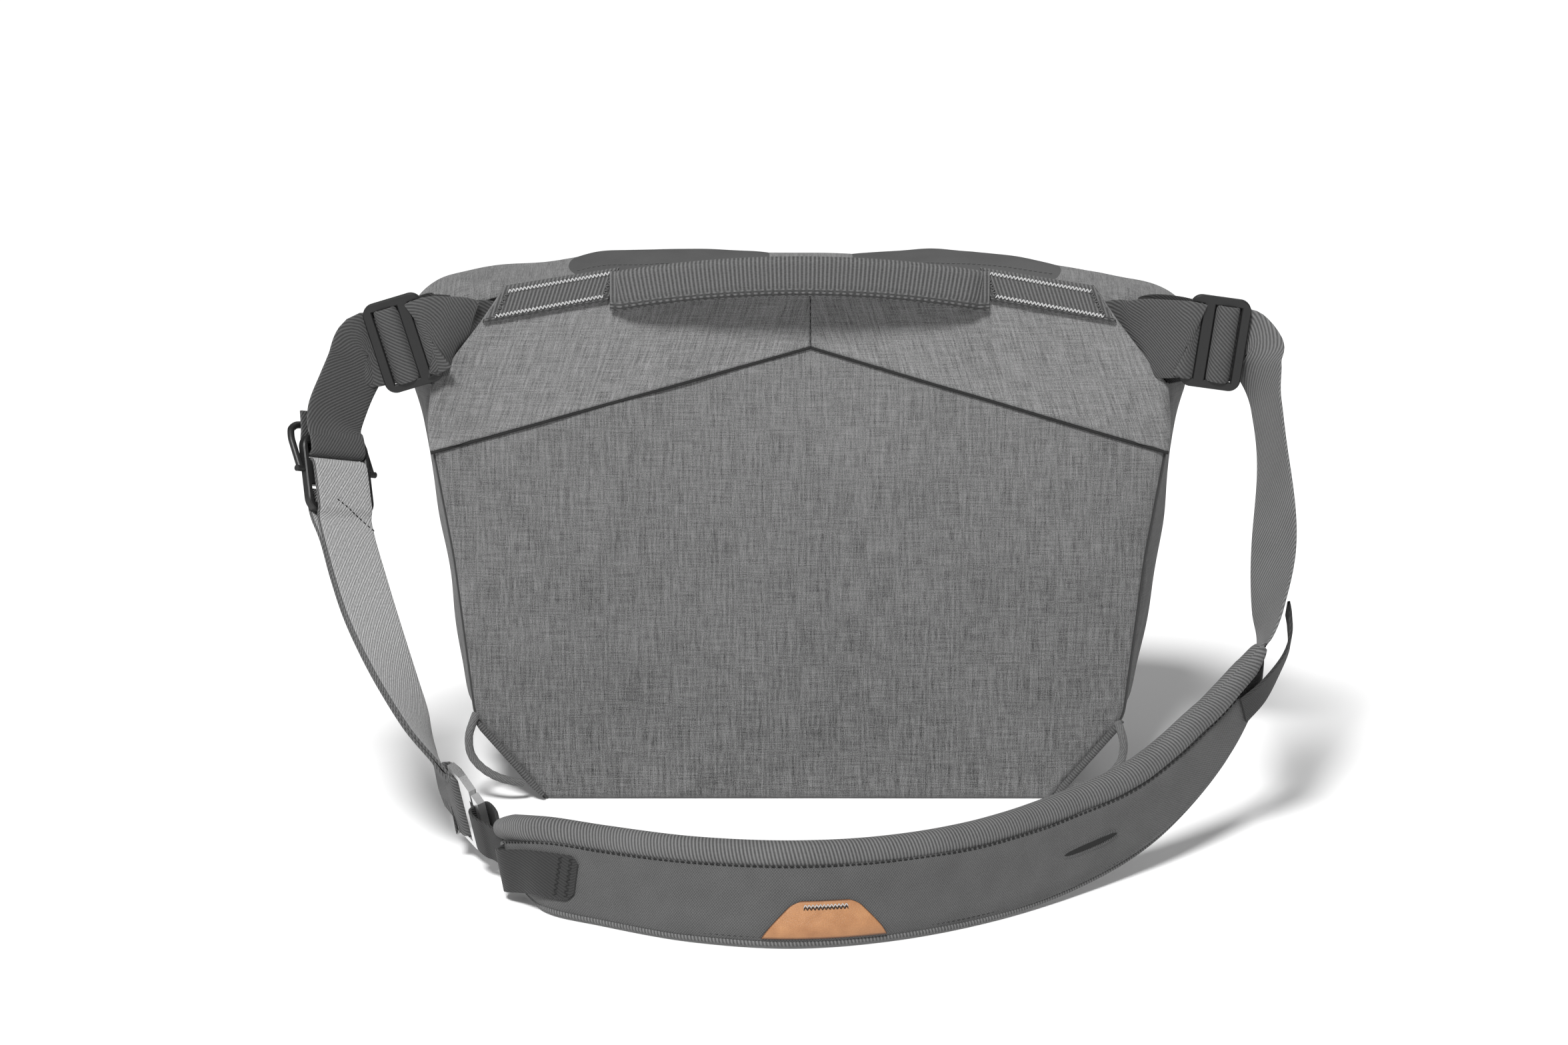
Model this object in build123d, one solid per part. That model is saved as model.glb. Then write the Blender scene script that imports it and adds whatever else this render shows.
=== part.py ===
"""Camera sling bag, in millimetres.

The origin is the centre of the bag's base, +Z is up, and the wearer's side, with the carry handle, faces -Y.
The bag is a trapezoid box of padded fabric: a back panel with a two-part yoke, a U of gussets and base, a sloping
front with a zipped pocket, and a lid that hinges behind the handle and closes on a zip along the front.
A padded shoulder strap runs from the left slider, through a length adjuster and a metal hook, to the right slider.
"""
from build123d import *
from math import atan, cos, degrees, radians, sin, tan
import os

os.makedirs("parts", exist_ok=True)

# Bag body. Halves are half widths, measured from the centre plane.
BACK_Y = -66.0
BASE_DEPTH = 130.0
FRONT_LEAN = 24.0
BASE_HALF = 132.0
CORNER_HALF, CORNER_H = 170.0, 44.0
MID_HALF, MID_H = 180.0, 130.0
WIDE_HALF, WIDE_H = 192.0, 200.0
SHOULDER_HALF, SHOULDER_H = 190.0, 222.0
TOP_CORNER_HALF, TOP_CORNER_H = 164.0, 255.0
TOP_INNER_HALF, TOP_INNER_H = 150.0, 275.5
TOP_MID_H = 284.0
WING_FLARE = 12.0
WING_Y = -20.0
YOKE_APEX_H = 243.0
YOKE_SIDE_H = 187.0

# Layers, from the outside in.
GAP = 0.1
YOKE_T = 1.7
PANEL_T = 1.8
GUSSET_T = 2.0
FOAM_T = 4.0
BACK_FOAM_T = 5.0
LINING_T = 0.8
DIVIDER_T = 8.0
DIVIDER_X = 58.0
DIVIDER_H = 196.0

# Lid and zips.
PARTING_BACK_H, PARTING_FRONT_H = 246.0, 222.0
LID_T = 3.0
LID_CLEAR = 0.5
LID_SKIN_BACK_Y = BACK_Y + 5.5
TAPE_T, TAPE_W = 1.2, 9.0
TEETH_T, TEETH_W = 1.0, 1.6
MAIN_ZIP_HALF = 150.0
POCKET_ZIP_HALF = 112.0
ZIP_SLIDER_W, ZIP_SLIDER_H, ZIP_SLIDER_T = 12.0, 9.0, 3.2
ZIP_PIN_R = 1.2
ZIP_PIN_CLEAR = 0.08
PULL_W, PULL_L, PULL_T = 7.0, 30.0, 2.4
PULL_EYE_OUT_R = 2.6

# Front pocket.
POCKET_LOW, POCKET_HIGH = 28.0, 166.0
POCKET_HALF_LOW, POCKET_HALF_HIGH = 118.0, 128.0
POCKET_DEPTH = 6.0
POCKET_SKIN = 1.8

# Handle.
HANDLE_W = 22.0
HANDLE_GRIP_T = 6.0
HANDLE_END_X = 92.0
HANDLE_END_H = 284.0
HANDLE_PATCH_X = 162.0
PATCH_T = 2.4
HANDLE_BULGE = 15.0
HANDLE_RISE = 11.0

# Webbing and hardware.
WEB_W, WEB_T = 38.0, 1.6
SLIDER_H, SLIDER_W, SLIDER_T = 48.0, 31.4, 4.0
SWING_Y, SWING_Z = BACK_Y - SLIDER_T / 2 - WEB_T - 0.4, 246.0
SLIDER_R = 6.0
SLIDER_SLOT = 3.6
SLIDER_SLOTS = (-10.6, -1.0, 9.0)
SLIDER_WINDOW = WEB_W + 1.6
SLIDER_TILT = {"left": 17.0, "right": 8.0}
SLIDER_X = {"left": -203.0, "right": 213.0}
SIGN = {"left": -1, "right": 1}
ANCHOR_TAIL = 9.0
ADJ_W, ADJ_L, ADJ_T = 46.0, 40.0, 4.4
ADJ_R = 7.0
ADJ_SLOT = 9.0
ADJ_BAR = 4.6
ADJ_REST = ADJ_L / 2 - ADJ_BAR - ADJ_SLOT
ADJ_PIN_R, ADJ_PIN_CLEAR = 1.6, 0.08
ADJ_CENTRE, ADJ_DOWN, ADJ_ACROSS = (-236.0, -103.0, 184.0), (0.125, -0.42, -0.90), (-23.0, -20.0, 16.0)
BAIL_PIN_X, BAIL_T, BAIL_LEG, BAIL_GAP, BAIL_REST = -2.0, 3.4, 24.0, 0.5, 202.0
HOOK_T, HOOK_W, HOOK_TIP_W = 4.0, 46.0, 34.0
HOOK_BAR, HOOK_SLOT = 4.4, 6.5
HOOK_REACH, HOOK_PLAY = 29.5, 2.9
HOOK_CENTRE, HOOK_ACROSS = (-170.5, -177.0, 33.0), (-6.5, -18.4, 41.7)
END_LOOP_W = 24.0

# Strap pad: an upper roll of twill, a core between two skins, and a welt along the lower edge.
PAD_CORE_T, PAD_SKIN_T = 7.0, 1.4
PAD_ROLL, PAD_ROLL_W = 1.6, 13.0
PIPING_T = 2.6
TAG_T, TAG_FOOT, TAG_HEAD, TAG_H = 1.6, 56.0, 28.0, 17.0
TAB_W, TAB_T = 22.0, 1.6

# Routes of the strap: centre, width direction, width.
UPPER_ROUTE = (
    ((-222.8, -70.0, 246.0), (-0.29, 0.0, 0.957), WEB_W),
    ((-227.5, -73.5, 237.0), (-0.36, -0.22, 0.90), WEB_W),
    ((-232.5, -81.5, 224.0), (-0.50, -0.45, 0.74), WEB_W),
    ((-237.0, -90.0, 212.0), (-0.64, -0.56, 0.52), WEB_W),
)
LOWER_ROUTE = (
    ((-229.5, -120.0, 154.0), (-0.66, -0.70, 0.26), WEB_W),
    ((-219.0, -137.0, 124.0), (-0.65, -0.72, 0.22), WEB_W),
    ((-206.5, -152.0, 96.0), (-0.58, -0.72, 0.38), WEB_W),
    ((-193.5, -163.0, 70.5), (-0.44, -0.66, 0.60), WEB_W),
    ((-184.5, -166.0, 53.0), (-0.30, -0.55, 0.78), WEB_W),
)
PAD_ROUTE = (
    ((-146.0, -219.0, 20.5), (-5.6, -10.0, 36.0), 38.0),
    ((-125.5, -252.0, 24.0), (-6.0, 15.0, 42.0), 46.0),
    ((-96.5, -272.5, 24.5), (-1.0, 15.0, 44.0), 48.0),
    ((-52.5, -297.5, 25.5), (0.0, 15.0, 48.0), 50.0),
    ((-4.0, -307.5, 26.0), (0.0, 15.0, 49.0), 51.0),
    ((43.5, -295.5, 25.5), (-3.0, 14.0, 47.0), 50.0),
    ((89.5, -268.5, 25.5), (-9.0, 6.0, 46.0), 50.0),
    ((133.5, -230.5, 29.0), (-17.0, -6.0, 46.0), 50.0),
    ((172.0, -197.5, 39.5), (-18.0, -19.0, 42.5), 50.0),
    ((206.0, -166.0, 62.5), (-16.0, -28.0, 36.7), 49.0),
    ((224.0, -149.0, 83.0), (-9.0, -35.0, 31.0), 46.0),
    ((233.0, -139.0, 98.0), (-2.0, -36.0, 22.0), 42.0),
)
RIGHT_ROUTE = (
    ((234.6, -136.6, 102.5), (3.0, -36.0, 19.0), WEB_W),
    ((238.0, -130.0, 121.0), (12.0, -34.0, 9.0), WEB_W),
    ((241.5, -112.0, 150.5), (17.0, -31.0, 4.0), WEB_W),
    ((242.0, -88.0, 188.0), (12.0, -33.0, 12.0), WEB_W),
    ((238.5, -75.0, 218.0), (9.0, -26.0, 24.0), WEB_W),
    ((235.0, -71.5, 236.0), (5.0, -8.0, 36.5), WEB_W),
    ((232.8, -70.0, 245.6), (5.3, 0.0, 37.6), WEB_W),
)

# Cord loops and welts at the lower corners.
CORD_D = 4.4
WELT, WELT_T = 4.0, 3.0
CORD = {
    "left": (
        (-169.0, -71.6, 46.0), (-172.5, -71.8, 36.0), (-171.5, -72.1, 26.0), (-163.5, -72.4, 17.5), (-152.0, -72.6, 13.0),
    ),
    "right": (
        (168.5, -71.6, 40.0), (171.5, -71.8, 31.0), (169.5, -72.1, 21.0), (161.0, -72.4, 13.0), (150.0, -72.6, 9.5),
    ),
}


def v(*xyz):
    return Vector(*xyz)


def save(node, *solids):
    """Writes one node, which may be a group of separate solids."""
    shape = solids[0] if len(solids) == 1 else Compound(list(solids))
    export_step(shape, f"parts/{node}.step")


def body_of(shape):
    """The single solid of a boolean result."""
    return shape.solids()[0]


def slab(points, push):
    """A flat polygon pushed along a vector."""
    face = Face(Wire.make_polygon([v(*p) for p in points], close=True))
    return Solid.extrude(face, v(*push))


def loft(rings):
    """A ruled skin through closed polygons with the same number of corners."""
    return Solid.make_loft([Wire.make_polygon([v(*p) for p in ring], close=True) for ring in rings], True)


def mirrored(points):
    """Right half points (x, z), followed by their mirror images in reverse."""
    return points + [(-x, z) for x, z in reversed(points) if x > 0.0]


def front_y(z):
    """Outer face of the gusset ring's front edge at height z."""
    return BACK_Y + BASE_DEPTH - FRONT_LEAN * z / PARTING_FRONT_H


def parting_h(y):
    """Height of the line where the lid meets the body."""
    front = front_y(PARTING_FRONT_H)
    share = (y - BACK_Y) / (front - BACK_Y)
    return PARTING_BACK_H + (PARTING_FRONT_H - PARTING_BACK_H) * share


def inset(points, depth):
    """An open (x, z) line moved to its left by depth, with mitred corners."""
    moved = []
    for i, (x, z) in enumerate(points):
        normals = []
        for a, b in ((i - 1, i), (i, i + 1)):
            if a >= 0 and b < len(points):
                d = v(points[b][0] - points[a][0], 0, points[b][1] - points[a][1]).normalized()
                normals.append(v(-d.Z, 0, d.X))
        mean = sum(normals, v(0, 0, 0)).normalized()
        step = depth / max(mean.dot(normals[0]), 0.4)
        moved.append((x + mean.X * step, z + mean.Z * step))
    return moved


# ---------------------------------------------------------------- bag body
def back_outline():
    """Right half of the back panel, from the base up to the top centre."""
    return [
        (BASE_HALF, 0), (CORNER_HALF, CORNER_H), (MID_HALF, MID_H), (WIDE_HALF, WIDE_H),
        (SHOULDER_HALF, SHOULDER_H), (TOP_CORNER_HALF, TOP_CORNER_H), (TOP_INNER_HALF, TOP_INNER_H), (0, TOP_MID_H),
    ]


def side_line(flare, top_flare, shrink, top_h):
    """Left to right U line of the gusset ring at one depth: down the left side, along the base, up the right."""
    half = [
        (BASE_HALF + flare / 4, 0), (CORNER_HALF + flare / 4 - shrink / 4, CORNER_H),
        (MID_HALF + flare / 2 - shrink / 2, MID_H), (WIDE_HALF + flare / 2 - shrink, WIDE_H),
        (SHOULDER_HALF + top_flare - shrink, SHOULDER_H - 4), (SHOULDER_HALF + top_flare - shrink - 6, top_h),
    ]
    return [(-x, z) for x, z in reversed(half)] + half


def ring_band(low, high, back, front_in):
    """The U band between two insets, from depth back to the sloping front less front_in."""
    rings = []
    for y, flare, top_flare, shrink in ((back, 0, 0, 0), (WING_Y, 6, WING_FLARE, 0), (None, 0, 0, 12)):
        top_h = PARTING_FRONT_H if y is None else parting_h(y)
        if y == back:
            top_h = SHOULDER_H + 10
        line = side_line(flare, top_flare, shrink, top_h)
        band = inset(line, low) + list(reversed(inset(line, high)))
        rings.append([(x, (front_y(z) - front_in) if y is None else y, z) for x, z in band])
    return loft(rings)


def split_ring(band):
    """Left, base and right parts of a U band, cut just inside the base's corners."""
    size = 600.0
    cut = BASE_HALF - 2.0
    left = Pos(-cut - size / 2, 0, 0) * Box(size, size, 2 * size)
    right = Pos(cut + size / 2, 0, 0) * Box(size, size, 2 * size)
    middle = Box(2 * cut - GAP, size, 2 * size)
    return body_of(band & left), body_of(band & middle), body_of(band & right)


def front_outline(inset_by, top_h):
    """Closed (x, z) outline of the front wall, inset from the gusset ring's outer line."""
    line = inset(side_line(0, 0, 12, PARTING_FRONT_H), inset_by)
    return [(x, min(z, top_h)) for x, z in line]


def front_slab(inset_by, top_h, out_from, out_to):
    """A sloping slab parallel to the front wall, between two distances outside the ring's front edge."""
    pts = [(x, front_y(z) + out_from, z) for x, z in front_outline(inset_by, top_h)]
    return slab(pts, (0, out_to - out_from, 0))


def bag_body():
    outline = mirrored(back_outline())
    panel_y = BACK_Y + YOKE_T + GAP
    save("back_panel", slab([(x, panel_y, z) for x, z in outline], (0, PANEL_T, 0)))
    for side, sign in (("left", -1), ("right", 1)):
        half = back_outline()
        yoke = [(GAP, YOKE_APEX_H), (WIDE_HALF - 1.2, YOKE_SIDE_H)] + half[3:-1] + [(GAP, TOP_MID_H)]
        save(f"back_yoke_{side}", slab([(sign * x, BACK_Y, z) for x, z in yoke], (0, YOKE_T, 0)))
    ring_back = panel_y + PANEL_T + GAP
    left, base, right = split_ring(ring_band(0, GUSSET_T, ring_back, GAP))
    save("gusset_left", left)
    save("gusset_right", right)
    save("base_panel", base)
    foam_in = GUSSET_T + GAP
    left, base, right = split_ring(ring_band(foam_in, foam_in + FOAM_T, ring_back + BACK_FOAM_T + GAP, FOAM_T + 2 * GAP))
    save("foam_left", left)
    save("foam_right", right)
    save("foam_base", base)
    back_foam = [(x, z) for x, z in inset(side_line(0, 0, 0, SHOULDER_H + 10), foam_in)]
    save("foam_back", slab([(x, ring_back, z) for x, z in back_foam], (0, BACK_FOAM_T, 0)))
    save("front_panel", front_slab(0, PARTING_FRONT_H, 0, GUSSET_T))
    save("foam_front", front_slab(foam_in, PARTING_FRONT_H - 2, -GAP - FOAM_T, -GAP))
    lining(foam_in + FOAM_T + GAP, ring_back + BACK_FOAM_T + GAP, FOAM_T + 3 * GAP)


def lining(outer, back, front_in):
    """A thin tub that lines the compartment, open at the top."""
    band = ring_band(outer, outer + LINING_T, back, front_in)
    back_wall = slab([(x, back, z) for x, z in inset(side_line(0, 0, 0, SHOULDER_H + 10), outer)], (0, LINING_T, 0))
    front_wall = front_slab(outer, PARTING_FRONT_H - 2, -front_in - LINING_T, -front_in)
    save("lining", body_of(band + back_wall + front_wall))


def dividers():
    """Two padded walls that stand across the compartment."""
    wall = GUSSET_T + FOAM_T + LINING_T + 4 * GAP + 0.4
    back = BACK_Y + YOKE_T + PANEL_T + BACK_FOAM_T + LINING_T + 5 * GAP + 0.4
    low = wall + 0.4
    front_in = FOAM_T + LINING_T + 4 * GAP + 0.6
    for side, sign in (("left", -1), ("right", 1)):
        x = sign * DIVIDER_X - DIVIDER_T / 2
        pts = [
            (x, back, low), (x, front_y(low) - front_in, low),
            (x, front_y(DIVIDER_H) - front_in, DIVIDER_H), (x, back, DIVIDER_H),
        ]
        save(f"divider_{side}", slab(pts, (DIVIDER_T, 0, 0)))


# ---------------------------------------------------------------- lid, zips, pocket
LID_STATIONS = (
    # y, then (x, z) of the outer skin from the centre to the lower edge
    (LID_SKIN_BACK_Y, ((0, 280.5), (95, 277.0), (148, 271.5), (166, 265.0), (175, 256.0), (177, 247.5))),
    (WING_Y - 5, ((0, 282.0), (95, 280.0), (150, 273.5), (185, 266.0), (200, 255.0), (202, 243.0))),
    (14.0, ((0, 272.0), (95, 271.0), (148, 264.0), (180, 253.0), (190, 241.0), (191, 233.0))),
    (front_y(PARTING_FRONT_H) + GUSSET_T - 1.0, ((0, 232.0), (95, 231.8), (140, 230.5), (160, 228.0), (170, 225.5), (173, 223.5))),
)


def lid():
    """The lid's shell: arch sections with their feet on the parting line, closed by a lip along the front."""
    rings = []
    last = len(LID_STATIONS) - 1
    for i, (y, half) in enumerate(LID_STATIONS):
        foot = parting_h(y) + LID_CLEAR
        outer = [(x, z) for x, z in half[:-1]] + [(half[-1][0], max(half[-1][1], foot + 0.2))]
        inner = [(max(x - LID_T * (x > 1), 0), (foot if i == last else max(z - LID_T, foot))) for x, z in half[:-1]]
        inner.append((half[-1][0] - LID_T, foot))
        ring = [(-x, z) for x, z in reversed(outer)] + outer[1:]
        ring += list(reversed(inner)) + [(-x, z) for x, z in inner[1:]]
        rings.append([(x, y, z) for x, z in ring])
    save("lid_panel", loft(rings))


ALPHA = degrees(atan(FRONT_LEAN / PARTING_FRONT_H))


def on_front(z, out):
    """A plane parallel to the sloping front at height z: local x is -X, local y up the slope, local z outwards."""
    origin = v(0, front_y(z) + out, z)
    return Plane(origin=origin, x_dir=(-1, 0, 0), z_dir=(0, cos(radians(ALPHA)), sin(radians(ALPHA))))


def strip(plane, half, low, high, thick, lift=0.0):
    """A flat strip on a plane: half long each way in x, from low to high in y."""
    return plane * Pos(0, (low + high) / 2, lift + thick / 2) * Box(2 * half, high - low, thick)


def zip_slider(plane, x):
    """The slider's body with two ears, and the pin through them."""
    ear_w, ear_gap = 1.6, PULL_W + 0.8
    base = Pos(0, 0, ZIP_SLIDER_T / 2) * Box(ZIP_SLIDER_W, ZIP_SLIDER_H, ZIP_SLIDER_T)
    base = fillet(base.edges().filter_by(Axis.Z), 2.0)
    pin_lift = ZIP_SLIDER_T + PULL_EYE_OUT_R + 0.4
    ear_h = PULL_EYE_OUT_R + 0.4 + ZIP_PIN_R + 1.0
    for sign in (-1, 1):
        place = Pos(sign * (ear_gap + ear_w) / 2, 0, ZIP_SLIDER_T + ear_h / 2)
        base = base + place * Box(ear_w, 2 * ZIP_PIN_R + 2.2, ear_h)
    pin = Pos(0, 0, pin_lift) * Rot(0, 90, 0) * Cylinder(ZIP_PIN_R, ear_gap + 2 * ear_w)
    return body_of(plane * Pos(-x, 0, 0) * (base + pin)), pin_lift


def zip_pull(plane, x, pin_lift):
    """A flat tab that hangs from the slider's pin by an eye."""
    eye = Cylinder(PULL_EYE_OUT_R, PULL_W) - Cylinder(ZIP_PIN_R + ZIP_PIN_CLEAR, PULL_W + 1)
    eye = Rot(0, 90, 0) * eye
    tab = Pos(0, -PULL_EYE_OUT_R - PULL_L / 2 + 0.8, 0) * Box(PULL_W, PULL_L, PULL_T)
    tab = fillet(tab.edges().filter_by(Axis.Z), 1.6)
    bore = Rot(0, 90, 0) * Cylinder(ZIP_PIN_R + ZIP_PIN_CLEAR, PULL_W + 1)
    return body_of(plane * Pos(-x, 0, pin_lift) * (eye + tab - bore))


MAIN_ZIP_X = -MAIN_ZIP_HALF + 14.0
POCKET_ZIP_X = -POCKET_ZIP_HALF + 14.0


def zips():
    tape_out = GUSSET_T + GAP
    main = on_front(PARTING_FRONT_H, tape_out)
    save("main_zip_tape_body", strip(main, MAIN_ZIP_HALF, -TAPE_W, -GAP, TAPE_T))
    save("main_zip_tape_lid", strip(main, MAIN_ZIP_HALF, 0.6, TAPE_W, TAPE_T, 1.0))
    slider, lift = zip_slider(main * Pos(0, 0.6 + ZIP_SLIDER_H / 2, TAPE_T + 1.4), MAIN_ZIP_X)
    save("main_zip_slider", slider)
    save("main_zip_pull", zip_pull(main * Pos(0, 0.6 + ZIP_SLIDER_H / 2, TAPE_T + 1.4), MAIN_ZIP_X, lift))
    pocket = on_front(POCKET_HIGH + TAPE_W + 2, tape_out)
    save("pocket_zip_tape_lower", strip(pocket, POCKET_ZIP_HALF, -TAPE_W, -TEETH_W, TAPE_T))
    save("pocket_zip_tape_upper", strip(pocket, POCKET_ZIP_HALF, TEETH_W, TAPE_W, TAPE_T))
    save("pocket_zip_coil", strip(pocket, POCKET_ZIP_HALF, -TEETH_W + GAP, TEETH_W - GAP, TEETH_T + TAPE_T - GAP))
    place = pocket * Pos(0, 0, TAPE_T + TEETH_T + 0.4)
    slider, lift = zip_slider(place, POCKET_ZIP_X)
    save("pocket_zip_slider", slider)
    save("pocket_zip_pull", zip_pull(place, POCKET_ZIP_X, lift))


def front_pocket():
    """A shallow fabric tray on the front wall, under the pocket zip."""
    out = GUSSET_T + GAP

    def block(inset_by, out_from, out_to):
        pts = [
            (POCKET_HALF_LOW - inset_by, POCKET_LOW + inset_by), (POCKET_HALF_HIGH - inset_by, POCKET_HIGH - inset_by),
            (-POCKET_HALF_HIGH + inset_by, POCKET_HIGH - inset_by), (-POCKET_HALF_LOW + inset_by, POCKET_LOW + inset_by),
        ]
        return slab([(x, front_y(z) + out_from, z) for x, z in pts], (0, out_to - out_from, 0))

    tray = block(0, out, out + POCKET_DEPTH) - block(POCKET_SKIN, out - 1, out + POCKET_DEPTH - POCKET_SKIN)
    save("front_pocket", body_of(tray))


# ---------------------------------------------------------------- handle
def top_edge_h(x):
    """Height of the back panel's top edge."""
    x = abs(x)
    if x > TOP_INNER_HALF:
        share = (x - TOP_INNER_HALF) / (TOP_CORNER_HALF - TOP_INNER_HALF)
        return TOP_INNER_H + (TOP_CORNER_H - TOP_INNER_H) * share
    return TOP_MID_H + (TOP_INNER_H - TOP_MID_H) * x / TOP_INNER_HALF


def handle():
    face_y = BACK_Y - GAP
    for side, sign in (("left", -1), ("right", 1)):
        a, b = HANDLE_END_X + 1.0, HANDLE_PATCH_X
        pts = [
            (a + 5, HANDLE_END_H - HANDLE_W + 4), (a, HANDLE_END_H), (b - 12, top_edge_h(b - 12) - 0.5),
            (b, top_edge_h(b) - 1.5),
        ]
        save(f"handle_patch_{side}", slab([(sign * x, face_y, z) for x, z in pts], (0, -PATCH_T, 0)))
    stations = []
    count = 9
    for i in range(count):
        share = i / (count - 1)
        x = -HANDLE_END_X + 2 * HANDLE_END_X * share
        arch = sin(share * 3.14159265)
        y = face_y - PATCH_T / 2 - HANDLE_GRIP_T / 2 - 0.4 - HANDLE_BULGE * arch
        z = HANDLE_END_H - HANDLE_W / 2 + HANDLE_RISE * arch
        stations.append((v(x, y, z), v(0, 0, 1), HANDLE_W - 1))
    save("handle_grip", ribbon(stations, -HANDLE_GRIP_T / 2, HANDLE_GRIP_T / 2))


# ---------------------------------------------------------------- strips along a route
def smooth(route, steps):
    """More stations on a route: centres on a Catmull-Rom curve, width directions and widths blended."""
    out = []
    for i in range(len(route) - 1):
        before, start = route[max(i - 1, 0)], route[i]
        end, after = route[i + 1], route[min(i + 2, len(route) - 1)]
        for k in range(steps):
            t = k / steps
            a, b, c, d = v(*before[0]), v(*start[0]), v(*end[0]), v(*after[0])
            centre = (b * 2 + (c - a) * t + (a * 2 - b * 5 + c * 4 - d) * t**2 + (b * 3 - a - c * 3 + d) * t**3) * 0.5
            across = v(*start[1]).normalized() * (1 - t) + v(*end[1]).normalized() * t
            out.append((centre, across.normalized(), start[2] * (1 - t) + end[2] * t))
    centre, across, width = route[-1]
    return out + [(v(*centre), v(*across).normalized(), width)]


def ribbon(stations, n_low, n_high, low=(-1, 0), high=(1, 0)):
    """A strip through (centre, width direction, width) stations.

    low and high are (share of the half width, mm more); n_low and n_high are mm along the normal, which is the
    travel direction x the width direction.
    """
    rings = []
    for i, (centre, across, width) in enumerate(stations):
        ahead = stations[min(i + 1, len(stations) - 1)][0] - stations[max(i - 1, 0)][0]
        normal = ahead.cross(across).normalized()
        a = across * (low[0] * width / 2 + low[1])
        b = across * (high[0] * width / 2 + high[1])
        ring = [a + normal * n_low, b + normal * n_low, b + normal * n_high, a + normal * n_high]
        rings.append([tuple(centre + p) for p in ring])
    return loft(rings)


def on_plane(plane, line, across, width):
    """Stations from (x, lift) points on a plane, with the width along a fixed direction."""
    return [(plane.from_local_coords(v(x, 0, lift)), across, width) for x, lift in line]


# ---------------------------------------------------------------- anchors and sliders
def slider_plane(side):
    """Local x points away from the bag, local y up the bars, local z towards the wearer's side."""
    sign = SIGN[side]
    tilt = radians(SLIDER_TILT[side])
    out = v(sign * cos(tilt), 0, -sin(tilt))
    up = v(sign * sin(tilt), 0, cos(tilt))
    normal = out.cross(up)
    return Plane(origin=v(SLIDER_X[side], SWING_Y, SWING_Z), x_dir=tuple(out), z_dir=tuple(normal))


def slider(side):
    """A frame with an inner rail, a wide plate, a bar and an outer rail, with a slot between each two."""
    frame = Box(SLIDER_W, SLIDER_H, SLIDER_T)
    frame = fillet(frame.edges().filter_by(Axis.Z), SLIDER_R)
    for x in SLIDER_SLOTS:
        frame = frame - Pos(x, 0, 0) * Box(SLIDER_SLOT, SLIDER_WINDOW, SLIDER_T + 1)
    rim = frame.edges().group_by(Axis.Z)[-1] + frame.edges().group_by(Axis.Z)[0]
    frame = chamfer(rim, 0.5)
    save(f"slider_{side}", body_of(slider_plane(side) * frame))


def anchor_webbing(side):
    """Two pieces on a slider: the loop that ties its inner rail to the bag's corner, and the strap's turn over its bar."""
    plane = slider_plane(side)
    front = 1 if plane.z_dir.Y < 0 else -1
    lift = front * (SLIDER_T / 2 + WEB_T / 2 + 0.3)
    near, mid, far = SLIDER_SLOTS
    tail = -SLIDER_W / 2 - ANCHOR_TAIL
    loop = [(tail, lift), (near - 1.9, lift), (near, front * 1.4), (near, -front * 1.4), (near - 1.9, -lift), (tail, -lift)]
    save(f"anchor_loop_{side}", ribbon(on_plane(plane, loop, plane.y_dir, WEB_W), -WEB_T / 2, WEB_T / 2))
    turn = [
        (near + 3.0, -lift), (mid - 1.0, -lift), (mid + 0.7, lift), (far - 0.7, lift), (far + 1.0, -lift),
        (SLIDER_W / 2 + 0.4, -lift),
    ]
    save(f"anchor_turn_{side}", ribbon(on_plane(plane, turn, plane.y_dir, WEB_W), -WEB_T / 2, WEB_T / 2))


# ---------------------------------------------------------------- left side of the strap
def adjuster_plane():
    """Local x down the strap, local y along the webbing's width, local z towards the wearer's shoulder side."""
    down = v(*ADJ_DOWN).normalized()
    across = v(*ADJ_ACROSS)
    across = (across - down * across.dot(down)).normalized()
    return Plane(origin=v(*ADJ_CENTRE), x_dir=tuple(down), z_dir=tuple(down.cross(across)))


def upper_webbing(plane, across):
    """From the left slider down to the adjuster's upper bar, round it and a short way back."""
    route = [((x, y, z), w, width) for (x, y, z), w, width in UPPER_ROUTE]
    free = smooth(route, 3)
    lift = ADJ_T / 2 + WEB_T / 2 + 0.4
    slot_x = -ADJ_L / 2 + ADJ_BAR + ADJ_SLOT / 2
    bar_x = -ADJ_L / 2 + ADJ_BAR / 2
    turn = [(bar_x - 5.5, -lift + 0.6), (bar_x - 1, -lift), (slot_x - 1.4, -lift), (slot_x, -1.5), (slot_x, 1.5)]
    back = [(slot_x - 1.4, lift), (bar_x - 1, lift), (bar_x - 6, lift - 1.0), (bar_x - 15, lift - 1.6)]
    stations = free + on_plane(plane, turn + back, across, WEB_W)
    save("webbing_upper_left", ribbon(stations, -WEB_T / 2, WEB_T / 2))


def adjuster(plane):
    """A three-bar frame with a pair of pins for the bail."""
    frame = Box(ADJ_L, ADJ_W, ADJ_T)
    frame = fillet(frame.edges().filter_by(Axis.Z), ADJ_R)
    for sign in (-1, 1):
        frame = frame - Pos(sign * (ADJ_L / 2 - ADJ_BAR - ADJ_SLOT / 2), 0, 0) * Box(ADJ_SLOT, SLIDER_WINDOW, ADJ_T + 1)
    frame = chamfer(frame.edges().group_by(Axis.Z)[-1] + frame.edges().group_by(Axis.Z)[0], 0.6)
    pin = Pos(BAIL_PIN_X, 0, 0) * Rot(90, 0, 0) * Cylinder(ADJ_PIN_R, ADJ_W + 2 * (BAIL_GAP + BAIL_T + 1.0))
    save("adjuster_frame", body_of(plane * (frame + pin)))


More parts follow.
